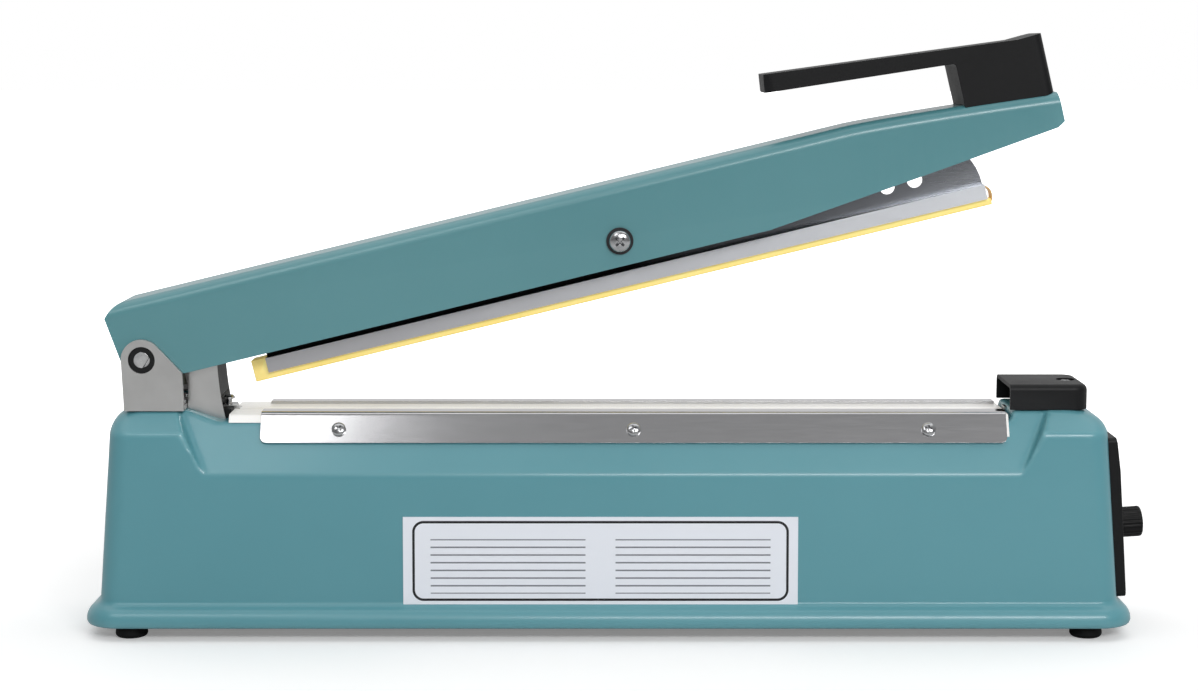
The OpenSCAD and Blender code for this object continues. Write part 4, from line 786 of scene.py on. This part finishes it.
@dataclass
class Housing(SubAssembly):
    """The cast housing with its bottom plate and feet."""

    half_length: float = 211 * MM
    half_depth: float = 38 * MM
    top: float = 90.5 * MM
    wall: float = 2.4 * MM
    foot: float = 5 * MM
    skirt_out: float = 5.6 * MM
    skirt_high: float = 8.5 * MM
    nose_share: float = 0.26
    end_draft: float = 4.0
    side_draft: float = 3.0
    corner: float = 9 * MM
    shoulder: float = 82.5 * MM
    top_half_depth: float = 18.5 * MM
    hinge_round: float = 7.5 * MM
    panel_round: float = 14 * MM
    lip: float = 1 * MM
    step_foot: float = -157.6 * MM
    step_run: float = 13.4 * MM
    beam_end: float = 162.5 * MM
    slope_middle: float = 1.6 * MM
    slope_half: float = 163.5 * MM
    slope_foot: float = 66 * MM
    slope_lean: float = 11.7 * MM
    over: float = 1 * MM
    plunger_x: float = -177.9 * MM
    plunger_hole: float = 2.2 * MM
    grain: float = 1.12 * MM
    rubs: int = 3
    curl: float = 0.98
    fine: tuple[int, int] = (14, 6)
    foot_out: Place = (192.5 * MM, 27 * MM, 2.6 * MM)
    foot_screw: Screw = Screw(3.5 * MM, 11 * MM, 3.15 * MM, 2.1 * MM)

    def wall_half(self, half: float, draft: float, z: float) -> float:
        """Half of the length or depth over two leaning walls at a height."""
        return half - self.skirt_out - (z - self.foot - self.skirt_high) * tan(radians(draft))

    def rings(self, inset: float, steps: int) -> list[Ring]:
        """The housing's levels from the skirt to the top.

        Args:
            inset: how far they lie inside the outer surface.
            steps: how finely the corners and roundings are divided.

        Returns:
            The levels, lowest first.
        """
        skirt_z = self.foot + self.skirt_high
        nose_z = self.foot + self.skirt_high * self.nose_share
        lip = 0 if inset else self.lip
        full = self.corner + self.skirt_out
        skirt = [(self.foot - (self.over if inset else 0), self.skirt_out - lip, full - lip),
                 (self.foot + self.lip, self.skirt_out, full)]
        for i in range(steps + 1):
            angle = pi / 2 * i / steps
            out = self.skirt_out * cos(angle)
            skirt.append((nose_z + (skirt_z - nose_z) * sin(angle), out, self.corner + out))
        rings = []
        for z, out, radius in skirt:
            reach = self.half_length - self.skirt_out + out - inset
            half = self.half_depth - self.skirt_out + out - inset
            rings.append(round_level(z, reach, reach, half, radius - inset, steps))
        turn = self.shoulder - inset / 3
        reach = self.wall_half(self.half_length, self.end_draft, turn) - inset
        half = self.wall_half(self.half_depth, self.side_draft, turn)
        for i in range(steps + 1):
            share = sin(pi / 2 * i / steps)
            curl = 1 - sqrt(1 - share * share * self.curl)
            rings.append(round_level(
                turn + (self.top - inset - turn) * share, reach - self.hinge_round * curl,
                reach - self.panel_round * curl, half - inset - (half - self.top_half_depth) * share,
                self.corner - inset - self.lip * share, steps))
        return rings

    def form(self, inset: float, steps: int) -> Piece:
        """The housing's closed form with its notched top and its sloped sides.

        Args:
            inset: how far it lies inside the outer surface.
            steps: how finely it is divided.

        Returns:
            The solid.
        """
        solid = loft("housing_skin", self.rings(inset, steps))
        high = self.top + self.over
        more = self.over / (self.top - RIDGE_HIGH)
        down = RIDGE_HIGH - inset
        notch = [(self.step_foot - self.step_run * (1 + more) - inset, high), (self.step_foot - inset, down),
                 (self.beam_end + inset, down), (self.beam_end + inset, high)]
        combine(solid, across("notch", notch, self.half_depth))
        run = self.wall_half(self.half_depth, self.side_draft, self.slope_foot) - RIDGE_HALF
        rise = RIDGE_HIGH - self.slope_foot
        shift = inset / sin(atan2(rise, run))
        slope = []
        for z in (self.slope_foot - inset, high):
            reach = (self.slope_half + inset
                     + self.slope_lean * (z - self.slope_foot) / (self.top - self.slope_foot))
            inner = -RIDGE_HALF - (RIDGE_HIGH - z) * run / rise + shift
            slope.append([(self.slope_middle + x, y, z) for x, y in
                          ((-reach, -2 * self.half_depth), (reach, -2 * self.half_depth),
                           (reach, inner), (-reach, inner))])
        for side in SIDES:
            combine(solid, loft("slope", slope, side))
        return solid

    def build(self) -> None:
        """Makes the housing's skin, softens its cast edges and hollows it from below."""
        skin = self.form(0, self.fine[0])
        alter(skin, "REMESH", mode="VOXEL", voxel_size=self.grain)
        alter(skin, "SMOOTH", factor=0.5, iterations=self.rubs)
        combine(skin, self.form(self.wall, self.fine[1]))
        hole = [(self.plunger_hole, RIDGE_HIGH - self.wall), (self.plunger_hole, self.top + self.wall)]
        combine(skin, lathe("plunger_hole", hole, 32, at(self.plunger_x, 0, 0)))
        skin.data.transform(at(MIDDLE_X, 0, 0))
        shade(skin.data, 50)
        self.seat(skin, "teal_paint", "base_shell")
        self.eased("bottom_plate", "bottom_sheet", 0.2 * MM)
        x, y, z = self.foot_out
        self.screws("feet_screws", "foot_screws", self.foot_screw,
                    *(at(MIDDLE_X + i * x, j * y, z, pi, "X") for i in (-1, 1) for j in (-1, 1)))


@dataclass
class SealBed(SubAssembly):
    """The beam's cloth and the two clamp strips with their screws."""

    beam_high: float = 2.6 * MM
    element_half: float = 2.15 * MM
    element_thick: float = 0.15 * MM
    cloth_thick: float = 0.25 * MM
    cloth_faces: Point = (0.96, 0.1)
    cloth_fold: float = 0.8 * MM
    band_out: float = 0.9 * MM
    band_flat: float = 0.8
    cloth_steps: int = 120
    strip_thick: float = 1.2 * MM
    strip_wide: float = 12.5 * MM
    cloth_down: float = 9.5 * MM
    cloth_short: float = 6 * MM
    cloth_end: float = -136.5 * MM
    tab_share: float = 0.4
    slope_angle: float = radians(60.86)
    strip_middle: float = 10 * MM
    strip_length: float = 303 * MM
    strip_in: float = 1.6 * MM
    strip_zones: Point = (0.95, 0.5)
    screw: Screw = Screw(3 * MM, 6 * MM, 2.85 * MM, 1.8 * MM)
    screw_span: float = 0.8
    screw_in: float = 2.8 * MM
    screw_down: float = 0.55
    screw_turn: tuple[int, int] = (20, 130)
    beam_in: float = 3 * MM

    def beam_edge(self, depth: float = 0.0) -> Point:
        """Corner of the beam's top and its bevel, or that corner of a layer over both."""
        half = RIDGE_HALF - self.beam_high / tan(self.slope_angle)
        return -half - depth * tan(self.slope_angle / 2), RIDGE_HIGH + self.beam_high + depth

    def cloth_line(self, depth: float, hang: float) -> Outline:
        """The cloth's front half in Y and Z, from its middle outward.

        Args:
            depth: how far it lies over the beam.
            hang: how far it reaches down the slope.

        Returns:
            The line.
        """
        y, z = self.beam_edge(depth)
        run, fall = -cos(self.slope_angle), -sin(self.slope_angle)
        band, fold, high = self.element_half, self.cloth_fold, z + self.element_thick
        rise = bent((-band, high), (-band - self.element_thick, z), (-band - self.band_out, z), 4)
        edge = bent((y + fold, z), (y, z), (y + fold * run, z + fold * fall), 5)
        return [(0.0, high), (-band * self.band_flat, high), *rise, *edge, (y + hang * run, z + hang * fall)]

    def strip_place(self, place: Vector) -> Vector:
        """Draws a strip's ends and outer screw holes in towards its middle.

        Args:
            place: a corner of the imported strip.

        Returns:
            Where it goes.
        """
        off = place.x - MIDDLE_X - self.strip_middle
        reach = self.strip_length / 2
        if abs(off) > reach * self.strip_zones[0]:
            place.x -= copysign(self.strip_in, off)
        elif abs(off) > reach * self.strip_zones[1]:
            place.x -= copysign(self.screw_in, off)
        return place

    def beam_place(self, place: Vector) -> Vector:
        """Draws the beam's end in under the cover."""
        if place.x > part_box("seal_beam")[1].x - self.beam_in:
            place.x -= self.beam_in
        return place

    def tab_place(self, place: Vector) -> Vector:
        """Lays what stands above the beam's ends flatter on it.

        Args:
            place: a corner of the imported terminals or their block.

        Returns:
            Where it goes.
        """
        top = RIDGE_HIGH + self.beam_high
        if place.z > top:
            place.z = top + (place.z - top) * self.tab_share
        return place

    def cloth(self) -> None:
        """Makes the release cloth as a thin sheet over the beam, narrower beyond the strips."""
        low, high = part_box("release_cloth")
        high.x -= self.beam_in
        steps, rings, width = self.cloth_steps, [], 0.0
        for i in range(steps + 1):
            x = low.x + (high.x - low.x) * i / steps
            hang = self.cloth_down - (self.cloth_short if x < MIDDLE_X + self.cloth_end else 0.0)
            outer, inner = (self.cloth_line(self.cloth_thick * share, hang) for share in self.cloth_faces)
            line = [(-y, z) for y, z in reversed(outer)] + outer[1:]
            line += [*reversed(inner), *((-y, z) for y, z in inner[1:])]
            rings.append([(x, y, z) for y, z in line])
            width += 2 * sum(map(dist, outer, outer[1:])) / (steps + 1)
        sheet = loft("seal_cloth", rings)
        shade(sheet.data, 40)
        self.seat(sheet, "cloth", "release_cloth")

    def build(self) -> None:
        """Dresses the beam, the strips, their screws and the element's terminals."""
        self.cloth()
        self.eased("seal_beam", "beam", 0.2 * MM, rule=self.beam_place)
        self.eased("front_clamp_strip", "front_strip", 0.22 * MM, rule=self.strip_place)
        self.eased("rear_clamp_strip", "rear_strip", 0.22 * MM, rule=self.strip_place)
        slope = at(MIDDLE_X, *self.beam_edge(), self.slope_angle, "X")
        start, turn = self.screw_turn
        places = []
        for side in SIDES:
            for i in (-0.5, 0, 0.5):
                out = 2 * i * (self.strip_length * self.screw_span / 2 - self.screw_in)
                places.append(side @ slope @ at(
                    self.strip_middle + out, -self.strip_wide * self.screw_down,
                    self.cloth_thick + self.strip_thick, radians(start + turn * i)))
        self.screws("strip_screws", "clamp_screws", self.screw, *places)
        self.eased("rear_terminal_block", "terminal_block", 0.35 * MM, rule=self.tab_place)
        self.eased("element_terminals", "terminal_tabs", 0.15 * MM, rule=self.tab_place)


@dataclass
class Hinge(SubAssembly):
    """The hinge bracket, its pin, the spring's guard and the return spring."""

    spring_x: float = -166 * MM
    spring_radius: float = 4 * MM
    wire: float = 0.7 * MM
    turns: int = 9
    end_pitch: float = 1.9 * MM
    closed_share: float = 0.9
    bracket: Place = (-182.9 * MM, 0, 92.5 * MM)
    screw_out: Point = (8 * MM, 11 * MM)
    screw_turn: float = 0.4
    fine: tuple[int, int] = (32, 12)
    screw: Screw = Screw(4 * MM, 8.4 * MM, 3.8 * MM, 2.4 * MM)
    painted_shade_x: float = -162 * MM
    painted_shade_lean: float = 0.7

    def build(self) -> None:
        """Dresses the sheet pieces and the pin, and makes the screws and the spring."""
        self.eased("hinge_bracket", "hinge_ears", 0.5 * MM, 3)
        self.eased("hinge_pin", "pin", 0.4 * MM, 3)
        self.eased("ear_bushes", "ear_rings", 0.2 * MM)
        self.guard()
        along, out = self.screw_out
        middle = at(MIDDLE_X, 0, 0) @ at(*self.bracket)
        self.screws("hinge_screws", "bracket_screws", self.screw,
                    *(middle @ at(x * along, y * out, 0, self.screw_turn + x + 2 * y)
                      for x in (-1, 1) for y in (-1, 1)))
        self.spring()

    def guard(self) -> None:
        """Dresses the spring's guard, whose curved front takes the black plastic finish as painted shade."""
        guard = self.eased("spring_guard", "guard_sheet", 0.3 * MM)
        # Painted shade: the front faces get the black finish, standing in for the shade between the arm and
        # the beam.
        guard.data.materials.append(finish_of("black_plastic"))
        for face in guard.data.polygons:
            if face.normal.x > self.painted_shade_lean and face.center.x > MIDDLE_X + self.painted_shade_x:
                face.material_index = 1

    def spring(self) -> None:
        """Makes the return spring."""
        low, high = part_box("return_spring")
        free = high.z - low.z - 2 * self.wire - 2 * self.end_pitch
        steps, sides = self.fine
        rings = []
        for i in range(self.turns * steps + 1):
            turn, angle = i / steps, 2 * pi * i / steps
            closed = min(turn, 1.0) + max(0.0, turn - self.turns + 1)
            open_share = min(1.0, max(0.0, (turn - 1) / (self.turns - 2)))
            height = low.z + (self.wire + self.end_pitch * closed + free * open_share)
            rings.append([(MIDDLE_X + self.spring_x + reach * cos(angle), reach * sin(angle), z)
                          for reach, z in arc((self.spring_radius, height), self.wire, 0, 360, sides)[:-1]])
        coil = loft("arm_spring", rings)
        shade(coil.data, 60)
        self.seat(coil, "fastener", "return_spring")
        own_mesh(coil)


@dataclass
class TopCover(SubAssembly):
    """The cover over the element's front terminal, with its screw."""

    boss: float = 5 * MM
    screw_out: float = 3.1 * MM
    screw_turn: float = 0.5
    end_out: float = 1.5 * MM
    screw_head: Point = (2.85 * MM, 1.8 * MM)

    def screw_x(self) -> float:
        """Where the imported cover's screw stands."""
        low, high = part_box("cover_screw")
        return (low.x + high.x) / 2

    def cap_place(self, place: Vector) -> Vector:
        """Draws the cover's end and the seat of its screw out.

        Args:
            place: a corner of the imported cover.

        Returns:
            Where it goes.
        """
        if hypot(place.x - self.screw_x(), place.y) < self.boss:
            place.x += self.screw_out
        elif place.x > self.screw_x():
            place.x += self.end_out
        return place

    def build(self) -> None:
        """Dresses the cover and makes its screw."""
        self.eased("terminal_cover", "cover_cap", 0.4 * MM, 3, 40.0, self.cap_place)
        low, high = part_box("cover_screw")
        seat = high.z - self.screw_head[1]
        self.screws("cap_screw", "cover_screw", Screw(3 * MM, seat - low.z, *self.screw_head),
                    at(self.screw_x() + self.screw_out, 0, seat, self.screw_turn))


@dataclass
class ControlEnd(SubAssembly):
    """The control panel with its lamp, dial marks and timer knob."""

    knob_radius: float = 6.3 * MM
    knob_length: float = 11 * MM
    knob_out: float = 1 * MM
    knob_round: float = 1.1 * MM
    panel_thick: float = 5 * MM
    panel_level: float = 3.1 * MM
    panel_thin: float = 2 * MM
    panel_back: float = 0.5 * MM
    window_half: float = 6 * MM
    panel_ends: Point = (-22 * MM, 30 * MM)
    panel_more: Point = (0.8 * MM, 4.8 * MM)
    mark_radius: float = 10.5 * MM
    mark_half: Place = (0.25 * MM, 0.9 * MM, 0.03 * MM)
    marks: int = 13
    dial_turn: float = 140.0
    flutes: int = 24
    flute_depth: float = 0.05
    grip_shares: tuple[float, ...] = (0.2, 0.35, 0.5, 0.65, 0.8)
    pointer: Place = (0.3 * MM, 0.28, 0.72)
    long_mark: float = 1.6

    def panel_frame(self) -> Matrix:
        """The panel's frame on the timer's axis: Z out of the end wall, Y up it."""
        turn = joint("timer_knob_turn")
        return at(*turn["pos_m"]) @ Vector(turn["axis"]).to_track_quat("Z", "Y").to_matrix().to_4x4()

    def panel_place(self, place: Vector) -> Vector:
        """Draws the panel's ends and its outer face out, and keeps it thick up to its upper end.

        Args:
            place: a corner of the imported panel.

        Returns:
            Where it goes.
        """
        place = self.panel_frame().inverted() @ place
        if place.y < self.panel_ends[0]:
            place.y -= self.panel_more[0]
        elif place.y > self.panel_ends[1]:
            if place.z > self.panel_back:
                place.z = self.panel_level
            if abs(place.x) > self.window_half:
                place.y += self.panel_more[1]
        if place.z > self.panel_thin:
            place.z += self.knob_out
        return self.panel_frame() @ place

    def build(self) -> None:
        """Dresses the panel and makes the knob and its marks."""
        self.eased("control_panel", "panel_plate", 0.5 * MM, 3, rule=self.panel_place)
        self.eased("indicator_lamp", "lamp_lens", 0.3 * MM)
        self.knob()
        self.dial()

    def knob(self) -> None:
        """Makes the fluted knob with its pointer line."""
        radius, length = self.knob_radius, self.knob_length
        profile = [(0.03 * radius, 0.0), (radius * 0.97, 0.0), (radius, 0.2 * MM), (radius, 1.2 * MM),
                   (radius, 1.6 * MM)]
        profile += [(radius * 0.995, length * share) for share in self.grip_shares]
        profile += [(radius - self.knob_round + x, length - 1.3 * MM + y)
                    for x, y in arc((0, 0), self.knob_round, 0, 80, 5)]
        profile += [(radius * 0.5, length - 0.1 * MM), (0.03 * radius, length - 0.02 * MM)]

        def flute(angle: float, height: float) -> float:
            """Cuts the knob's flutes, which run out at both of its ends.

            Args:
                angle: angle about the knob's axis.
                height: height above its foot.

            Returns:
                The share of the radius that is kept there.
            """
            share = min(1.0, max(0.0, (height - 1.5 * MM) / (1 * MM)))
            fade = min(1.0, max(0.0, (length - 0.6 * MM - height) / (1.2 * MM)))
            return 1 - self.flute_depth * share * fade * (0.5 + 0.5 * cos(self.flutes * angle))

        turn = joint("timer_knob_turn")
        foot = min((v.co - Vector(turn["pos_m"])).dot(Vector(turn["axis"]))
                   for v in frame["nodes"]["timer_knob"].data.vertices)
        seat = self.panel_frame() @ at(0, 0, foot + self.knob_out)
        knob = lathe("knob", profile, 192, seat, flute)
        shade(knob.data, 40)
        self.seat(knob, "black_plastic", "timer_knob", body="knob")
        wide, start, end = self.pointer[0], self.pointer[1] * radius, self.pointer[2] * radius
        pointer = across("knob_pointer", [(-wide, start), (wide, start), (wide, end), (-wide, end)], wide,
                         seat @ at(0, 0, length - 0.33 * MM, -pi / 2, "X"))
        self.seat(pointer, "pale_plastic", body="knob")

    def dial(self) -> None:
        """Makes the printed marks round the knob, a longer one at each end and in the middle."""
        wide, reach, rise = self.mark_half
        ticks = []
        for i in range(self.marks):
            angle = radians(self.dial_turn) * (2 * i / (self.marks - 1) - 1)
            long = self.long_mark if i % (self.marks // 2) == 0 else 1.0
            ticks.append(self.panel_frame() @ Matrix.Rotation(angle, 4, "Z")
                         @ at(0, self.mark_radius, self.panel_thick) @ Matrix.Diagonal((1, long, 1, 1)))
        rings = [[(-wide, -reach, z), (wide, -reach, z), (wide, reach, z), (-wide, reach, z)]
                 for z in (-rise, rise)]
        self.seat(gather("dial_marks", loft("tick", rings), ticks), "pale_plastic")


@dataclass
class Arm(SubAssembly):
    """The cast arm, drawn closed in the hinge pin's frame."""

    body = "arm"
    length: float = 380.5 * MM
    half: float = 17.5 * MM
    wall: float = 2.2 * MM
    up: float = 24.3 * MM
    down: float = 9.4 * MM
    edge: float = 5 * MM
    fall_length: float = 83.5 * MM
    fall: float = 6.6 * MM
    fall_share: float = 1.25
    rear_radius: float = 8.6 * MM
    rear_lean: float = 2.1 * MM
    rear_corner: float = 0.8
    rear_top: float = 1.7 * MM
    curve_length: float = 123.5 * MM
    curve_pull: float = 6.8 * MM
    curve_foot: float = 0.6 * MM
    nose_up: float = 4.0 * MM
    nose_turn: float = 1.8 * MM
    nose_radius: float = 3 * MM
    over: float = 1 * MM
    bore: float = 5 * MM
    lip: float = 0.7 * MM

    def outline(self) -> Outline:
        """The arm's side outline in X and Z.

        Returns:
            Its corners in order.
        """
        radius, down, far = self.rear_radius, self.down, self.length
        points = arc((0, 0), radius, 180, 260, 12)
        points.append((2 * radius, -down))
        points += bent((far - self.curve_length, self.curve_foot - down),
                       (far - self.curve_length / 2, self.curve_pull - down),
                       (far - self.nose_radius, self.nose_up), 24)
        points += [(far, self.nose_up + self.nose_turn), (far, 2 * self.up), (-self.rear_top, 2 * self.up)]
        return points + bent((-self.rear_top, self.up), (self.rear_lean - radius, self.up),
                             (-radius - self.rear_lean, self.up * self.rear_corner), 10)

    def ridge(self, drop: float, foot: float) -> Piece:
        """A long form with the arm's falling top and its round upper edges.

        Args:
            drop: how far it lies inside the outer surface.
            foot: height of its underside.

        Returns:
            The solid.
        """
        half, edge = self.half - drop, self.edge - drop
        start = self.length - self.fall_length
        rings = []
        for x in [-2 * self.rear_radius, start] + [start + self.fall_length * i / 16 for i in range(1, 18)]:
            past = (x - self.length + self.fall_length) / self.fall_length
            top = self.up - self.fall * max(0.0, past) ** self.fall_share - drop
            line = [(half, foot), *arc((half - edge, top - edge), edge, 0, 90, 12),
                    *arc((edge - half, top - edge), edge, 90, 180, 12), (-half, foot)]
            rings.append([(x, y, z) for y, z in line])
        return loft("arm_cast", rings)

    def form(self) -> Piece:
        """The arm's outer form as a closed solid."""
        side = across("side", self.outline(), self.half + self.over)
        return combine(self.ridge(0, -2 * self.down), side, "INTERSECT")

    def hollow(self) -> Piece:
        """The arm's hollow, which is open below.

        Returns:
            The solid that is taken out.
        """
        rear = -self.rear_radius - self.rear_lean + self.wall
        start, end, low = self.wall / 2 - self.rear_top, self.length - self.wall, -3 * self.down
        inside = [(rear, self.up * self.rear_corner - self.wall), (rear + self.rear_lean, low), (end, low),
                  (end, 2 * self.up), (start, 2 * self.up), (start, self.up - self.wall)]
        return combine(self.ridge(self.wall, low), across("inside", inside, self.half), "INTERSECT")

    def build(self) -> None:
        """Makes the cast arm with its eased edges."""
        cast = combine(self.form(), self.hollow())
        reach = self.half + self.wall
        combine(cast, lathe("bore", [(self.bore, -reach), (self.bore, reach)], 48,
                            Matrix.Rotation(pi / 2, 4, "X")))
        ease(cast, self.lip, CAST_STEPS, CAST_KEEN)
        cast.data.transform(ARM_FRAME)
        self.seat(cast, "arm_paint", "arm_shell")


@dataclass
class Handle(SubAssembly):
    """The moulded handle on the arm's front end, drawn closed in the hinge pin's frame."""

    body = "arm"
    front: float = 379.5 * MM
    length: float = 112 * MM
    block: float = 36 * MM
    half: float = 15.5 * MM
    up: float = 41.8 * MM
    rise: float = radians(5.8)
    grip: float = 7.3 * MM
    crown: float = 10 * MM
    crown_fall: float = 0.3 * MM
    under: float = 3.7 * MM
    fillet: float = 1 * MM
    lean: float = 1 * MM
    corner: float = 4 * MM
    foot: float = 12 * MM
    edge: float = 1 * MM

    def outline(self) -> Outline:
        """The handle's side outline in X and Z.

        Returns:
            Its corners in order.
        """
        back, wall = self.front - self.length, self.front - self.block
        crown = self.up - self.crown_fall
        tip = crown + (self.length - self.crown) * tan(self.rise)
        low = self.up - self.under
        turn = bent((wall - self.fillet, low), (wall, low - self.lean / 2),
                    (wall, low - self.lean / 2 - self.fillet), 6)
        return [(self.front, self.foot), (self.front, self.up), (self.front - self.crown, crown),
                (back + self.lean, tip), (back, tip - self.grip), *turn, (wall, self.foot)]

    def build(self) -> None:
        """Makes the handle with its round corners, seated on the arm."""
        handle = across("grip", self.outline(), 2 * self.half)
        plan = [round_level(z, self.length - self.front, self.front, self.half, self.corner, 6)
                for z in (0.0, 2 * self.up)]
        combine(handle, loft("plan", plan), "INTERSECT")
        combine(handle, Arm().form())
        ease(handle, self.edge, CAST_STEPS, CAST_KEEN)
        handle.data.transform(ARM_FRAME)
        self.seat(handle, slot_of("handle"), "handle")


@dataclass
class PressureBar(SubAssembly):
    """The bar that rocks on the arm's centre screw, with its rubber."""

    body = "press_bar"
    screw: Screw = Screw(6 * MM, 42 * MM, 4.29 * MM, 3 * MM, threaded=True, steps=64)
    screw_seat: Place = (197.7 * MM, -18.5 * MM, 1.2 * MM)
    round_from: Point = (21 * MM, 15 * MM)
    round_to: Point = (13 * MM, 18 * MM)
    round_slack: Point = (0.001, 0.01)
    screw_turn: float = 0.55

    def web_rule(self) -> Rule:
        """Gives the rule that makes the web's round front corner steeper.

        Returns:
            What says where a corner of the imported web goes.
        """
        back = ARM_FRAME.inverted()
        places = [back @ vertex.co for vertex in frame["nodes"]["bar_web"].data.vertices]
        right = max(place.x for place in places)
        foot = min(place.z for place in places)

        def rule(place: Vector) -> Vector:
            """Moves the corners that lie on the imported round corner.

            Args:
                place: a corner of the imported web.

            Returns:
                Where it goes.
            """
            place = back @ place
            along = (place.x - right) / self.round_from[0] + 1
            up = (place.z - foot) / self.round_from[1]
            least, slack = self.round_slack
            if min(along, up) > -least and abs(hypot(along, up) - 1) < slack:
                place.x = right + self.round_to[0] * (along - 1)
                place.z = foot + self.round_to[1] * up
            return ARM_FRAME @ place

        return rule

    def build(self) -> None:
        """Dresses the web, channel, rubber, washers and nut, and makes the centre screw."""
        web = self.eased("bar_web", "web", 0.25 * MM, rule=self.web_rule())
        # The web's finish carries painted shade, darker towards the hinge end and up under the arm.
        web.data.materials[0] = finish_of("web_steel")
        self.eased("bar_channel", "channel", 0.3 * MM)
        self.eased("silicone_strip", "rubber", 0.45 * MM, 3)
        self.eased("rock_washers", "centre_washers", 0.15 * MM)
        self.eased("rock_nut", "centre_nut", 0.3 * MM)
        seat = ARM_FRAME @ at(*self.screw_seat, pi / 2, "X") @ Matrix.Rotation(self.screw_turn, 4, "Z")
        self.screws("centre_screw", "rock_screw", self.screw, seat, body="arm")


@dataclass
class Studio:
    """The floor, the lights and the camera, with the levels of the plain surroundings."""

    front_level: float = 0.22
    rear_level: float = 0.75
    top_level: float = 0.45
    floor_reach: float = 12.0
    floor_glow: Point = (0.22, 1.3)
    glow_span: Point = (0.25, 0.9)
    floor_bounce: float = 0.68
    floor_seen: float = 0.95
    behind_span: Point = (-0.4, 0.6)
    above_span: Point = (0.3, 1.0)
    aim: Place = (0, 0, 0.08)
    eye: Place = (-0.00856, -0.940, 0.235)
    tilt: float = 82.7
    lens: float = 69.6
    sensor: float = 36.0
    nearest: float = 0.02

    def build(self) -> None:
        """Makes everything that isn't the sealer."""
        self.floor()
        self.world()
        self.soft_box("overhead", (0.0, 0.20, 1.5), (2.2, 1.5), 9.0)
        self.soft_box("front", (0.5, -1.6, 1.02), (1.2, 0.35), 17.0)
        # The clamp strips mirror this one at their hinge end, and nothing else shows it.
        self.soft_box("front_left", (-0.60, -1.0, 1.2), (0.6, 0.5), 3.2).visible_diffuse = False
        self.camera()

    def grey(self, level: float) -> Shade:
        """A neutral colour of the level given."""
        return level, level, level, 1.0

    def floor(self) -> None:
        """Makes a wide pale floor, which fades to plain white away from the sealer."""
        corners = [(x * self.floor_reach, y * self.floor_reach, 0)
                   for x, y in ((-1, -1), (1, -1), (1, 1), (-1, 1))]
        floor = link_mesh("floor", corners, [(0, 1, 2, 3)])
        material = bpy.data.materials.new("studio_floor")
        graph = Graph(material)
        away = graph.add("VectorMath", {0: graph.add("TexCoord").outputs["Object"]}, operation="LENGTH")
        glow = graph.span(away.outputs["Value"], *self.glow_span, *self.floor_glow)
        camera = graph.add("LightPath").outputs["Is Camera Ray"]
        shader = graph.add("BsdfPrincipled", {
            "Base Color": graph.mix(camera, self.grey(self.floor_bounce), self.grey(self.floor_seen)),
            "Roughness": 0.6, "Specular IOR Level": 0.1, "Emission Color": self.grey(1.0),
            "Emission Strength": graph.math("MULTIPLY", glow, camera)})
        graph.add("OutputMaterial", {"Surface": shader.outputs[0]})
        floor.data.materials.append(material)

    def world(self) -> None:
        """Makes a white backdrop for the camera, and a grey one for the lighting, darkest low in front."""
        world = bpy.data.worlds.new("studio")
        graph = Graph(world)
        axes = graph.add("SeparateXYZ", {0: graph.add("TexCoord").outputs["Generated"]}).outputs
        low = graph.mix(graph.span(axes["Y"], *self.behind_span), self.grey(self.front_level),
                        self.grey(self.rear_level))
        shade_level = graph.mix(graph.span(axes["Z"], *self.above_span), low, self.grey(self.top_level))
        soft, seen = (graph.add("Background", {"Color": colour, "Strength": 1.0}).outputs[0]
                      for colour in (shade_level, self.grey(1.0)))
        ray = graph.add("LightPath").outputs["Is Camera Ray"]
        both = graph.add("MixShader", {0: ray, 1: soft, 2: seen})
        graph.add("OutputWorld", {"Surface": both.outputs[0]})
        bpy.context.scene.world = world

    def soft_box(self, name: str, place: Place, size: Point, power: float) -> Piece:
        """Hangs one soft box that faces the sealer.

        Args:
            name: its name.
            place: where it hangs.
            size: its width and height.
            power: its power in watts.

        Returns:
            The light.
        """
        light = bpy.data.lights.new(name, "AREA")
        light.shape = "RECTANGLE"
        light.size, light.size_y = size
        light.energy = power
        box = bpy.data.objects.new(name, light)
        box.location = place
        box.rotation_euler = (Vector(self.aim) - Vector(place)).to_track_quat("-Z", "Y").to_euler()
        bpy.context.scene.collection.objects.link(box)
        return box

    def camera(self) -> None:
        """Places the camera at the photograph's viewing angle."""
        data = bpy.data.cameras.new("camera")
        data.sensor_width = self.sensor
        data.lens = self.lens
        data.clip_start = self.nearest
        camera = bpy.data.objects.new("camera", data)
        camera.location = self.eye
        camera.rotation_euler = (radians(self.tilt), 0, 0)
        bpy.context.scene.collection.objects.link(camera)
        bpy.context.scene.camera = camera
        bpy.context.scene.view_settings.view_transform = "Standard"


def dress_nodes() -> None:
    """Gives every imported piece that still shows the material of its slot."""
    for name, node in frame["nodes"].items():
        if not node.hide_render:
            for slot in node.material_slots:
                slot.material = finish_of(slot_of(name))
            shade(node.data, 30)


def main() -> None:
    """Builds the sealer's looks in order."""
    logging.basicConfig(level=logging.INFO, format="%(message)s")
    Studio().build()
    for assembly in (Housing(), SealBed(), Hinge(), TopCover(), ControlEnd(), Arm(), Handle(), PressureBar()):
        assembly.build()
    dress_nodes()


if __name__ == "__main__":
    main()
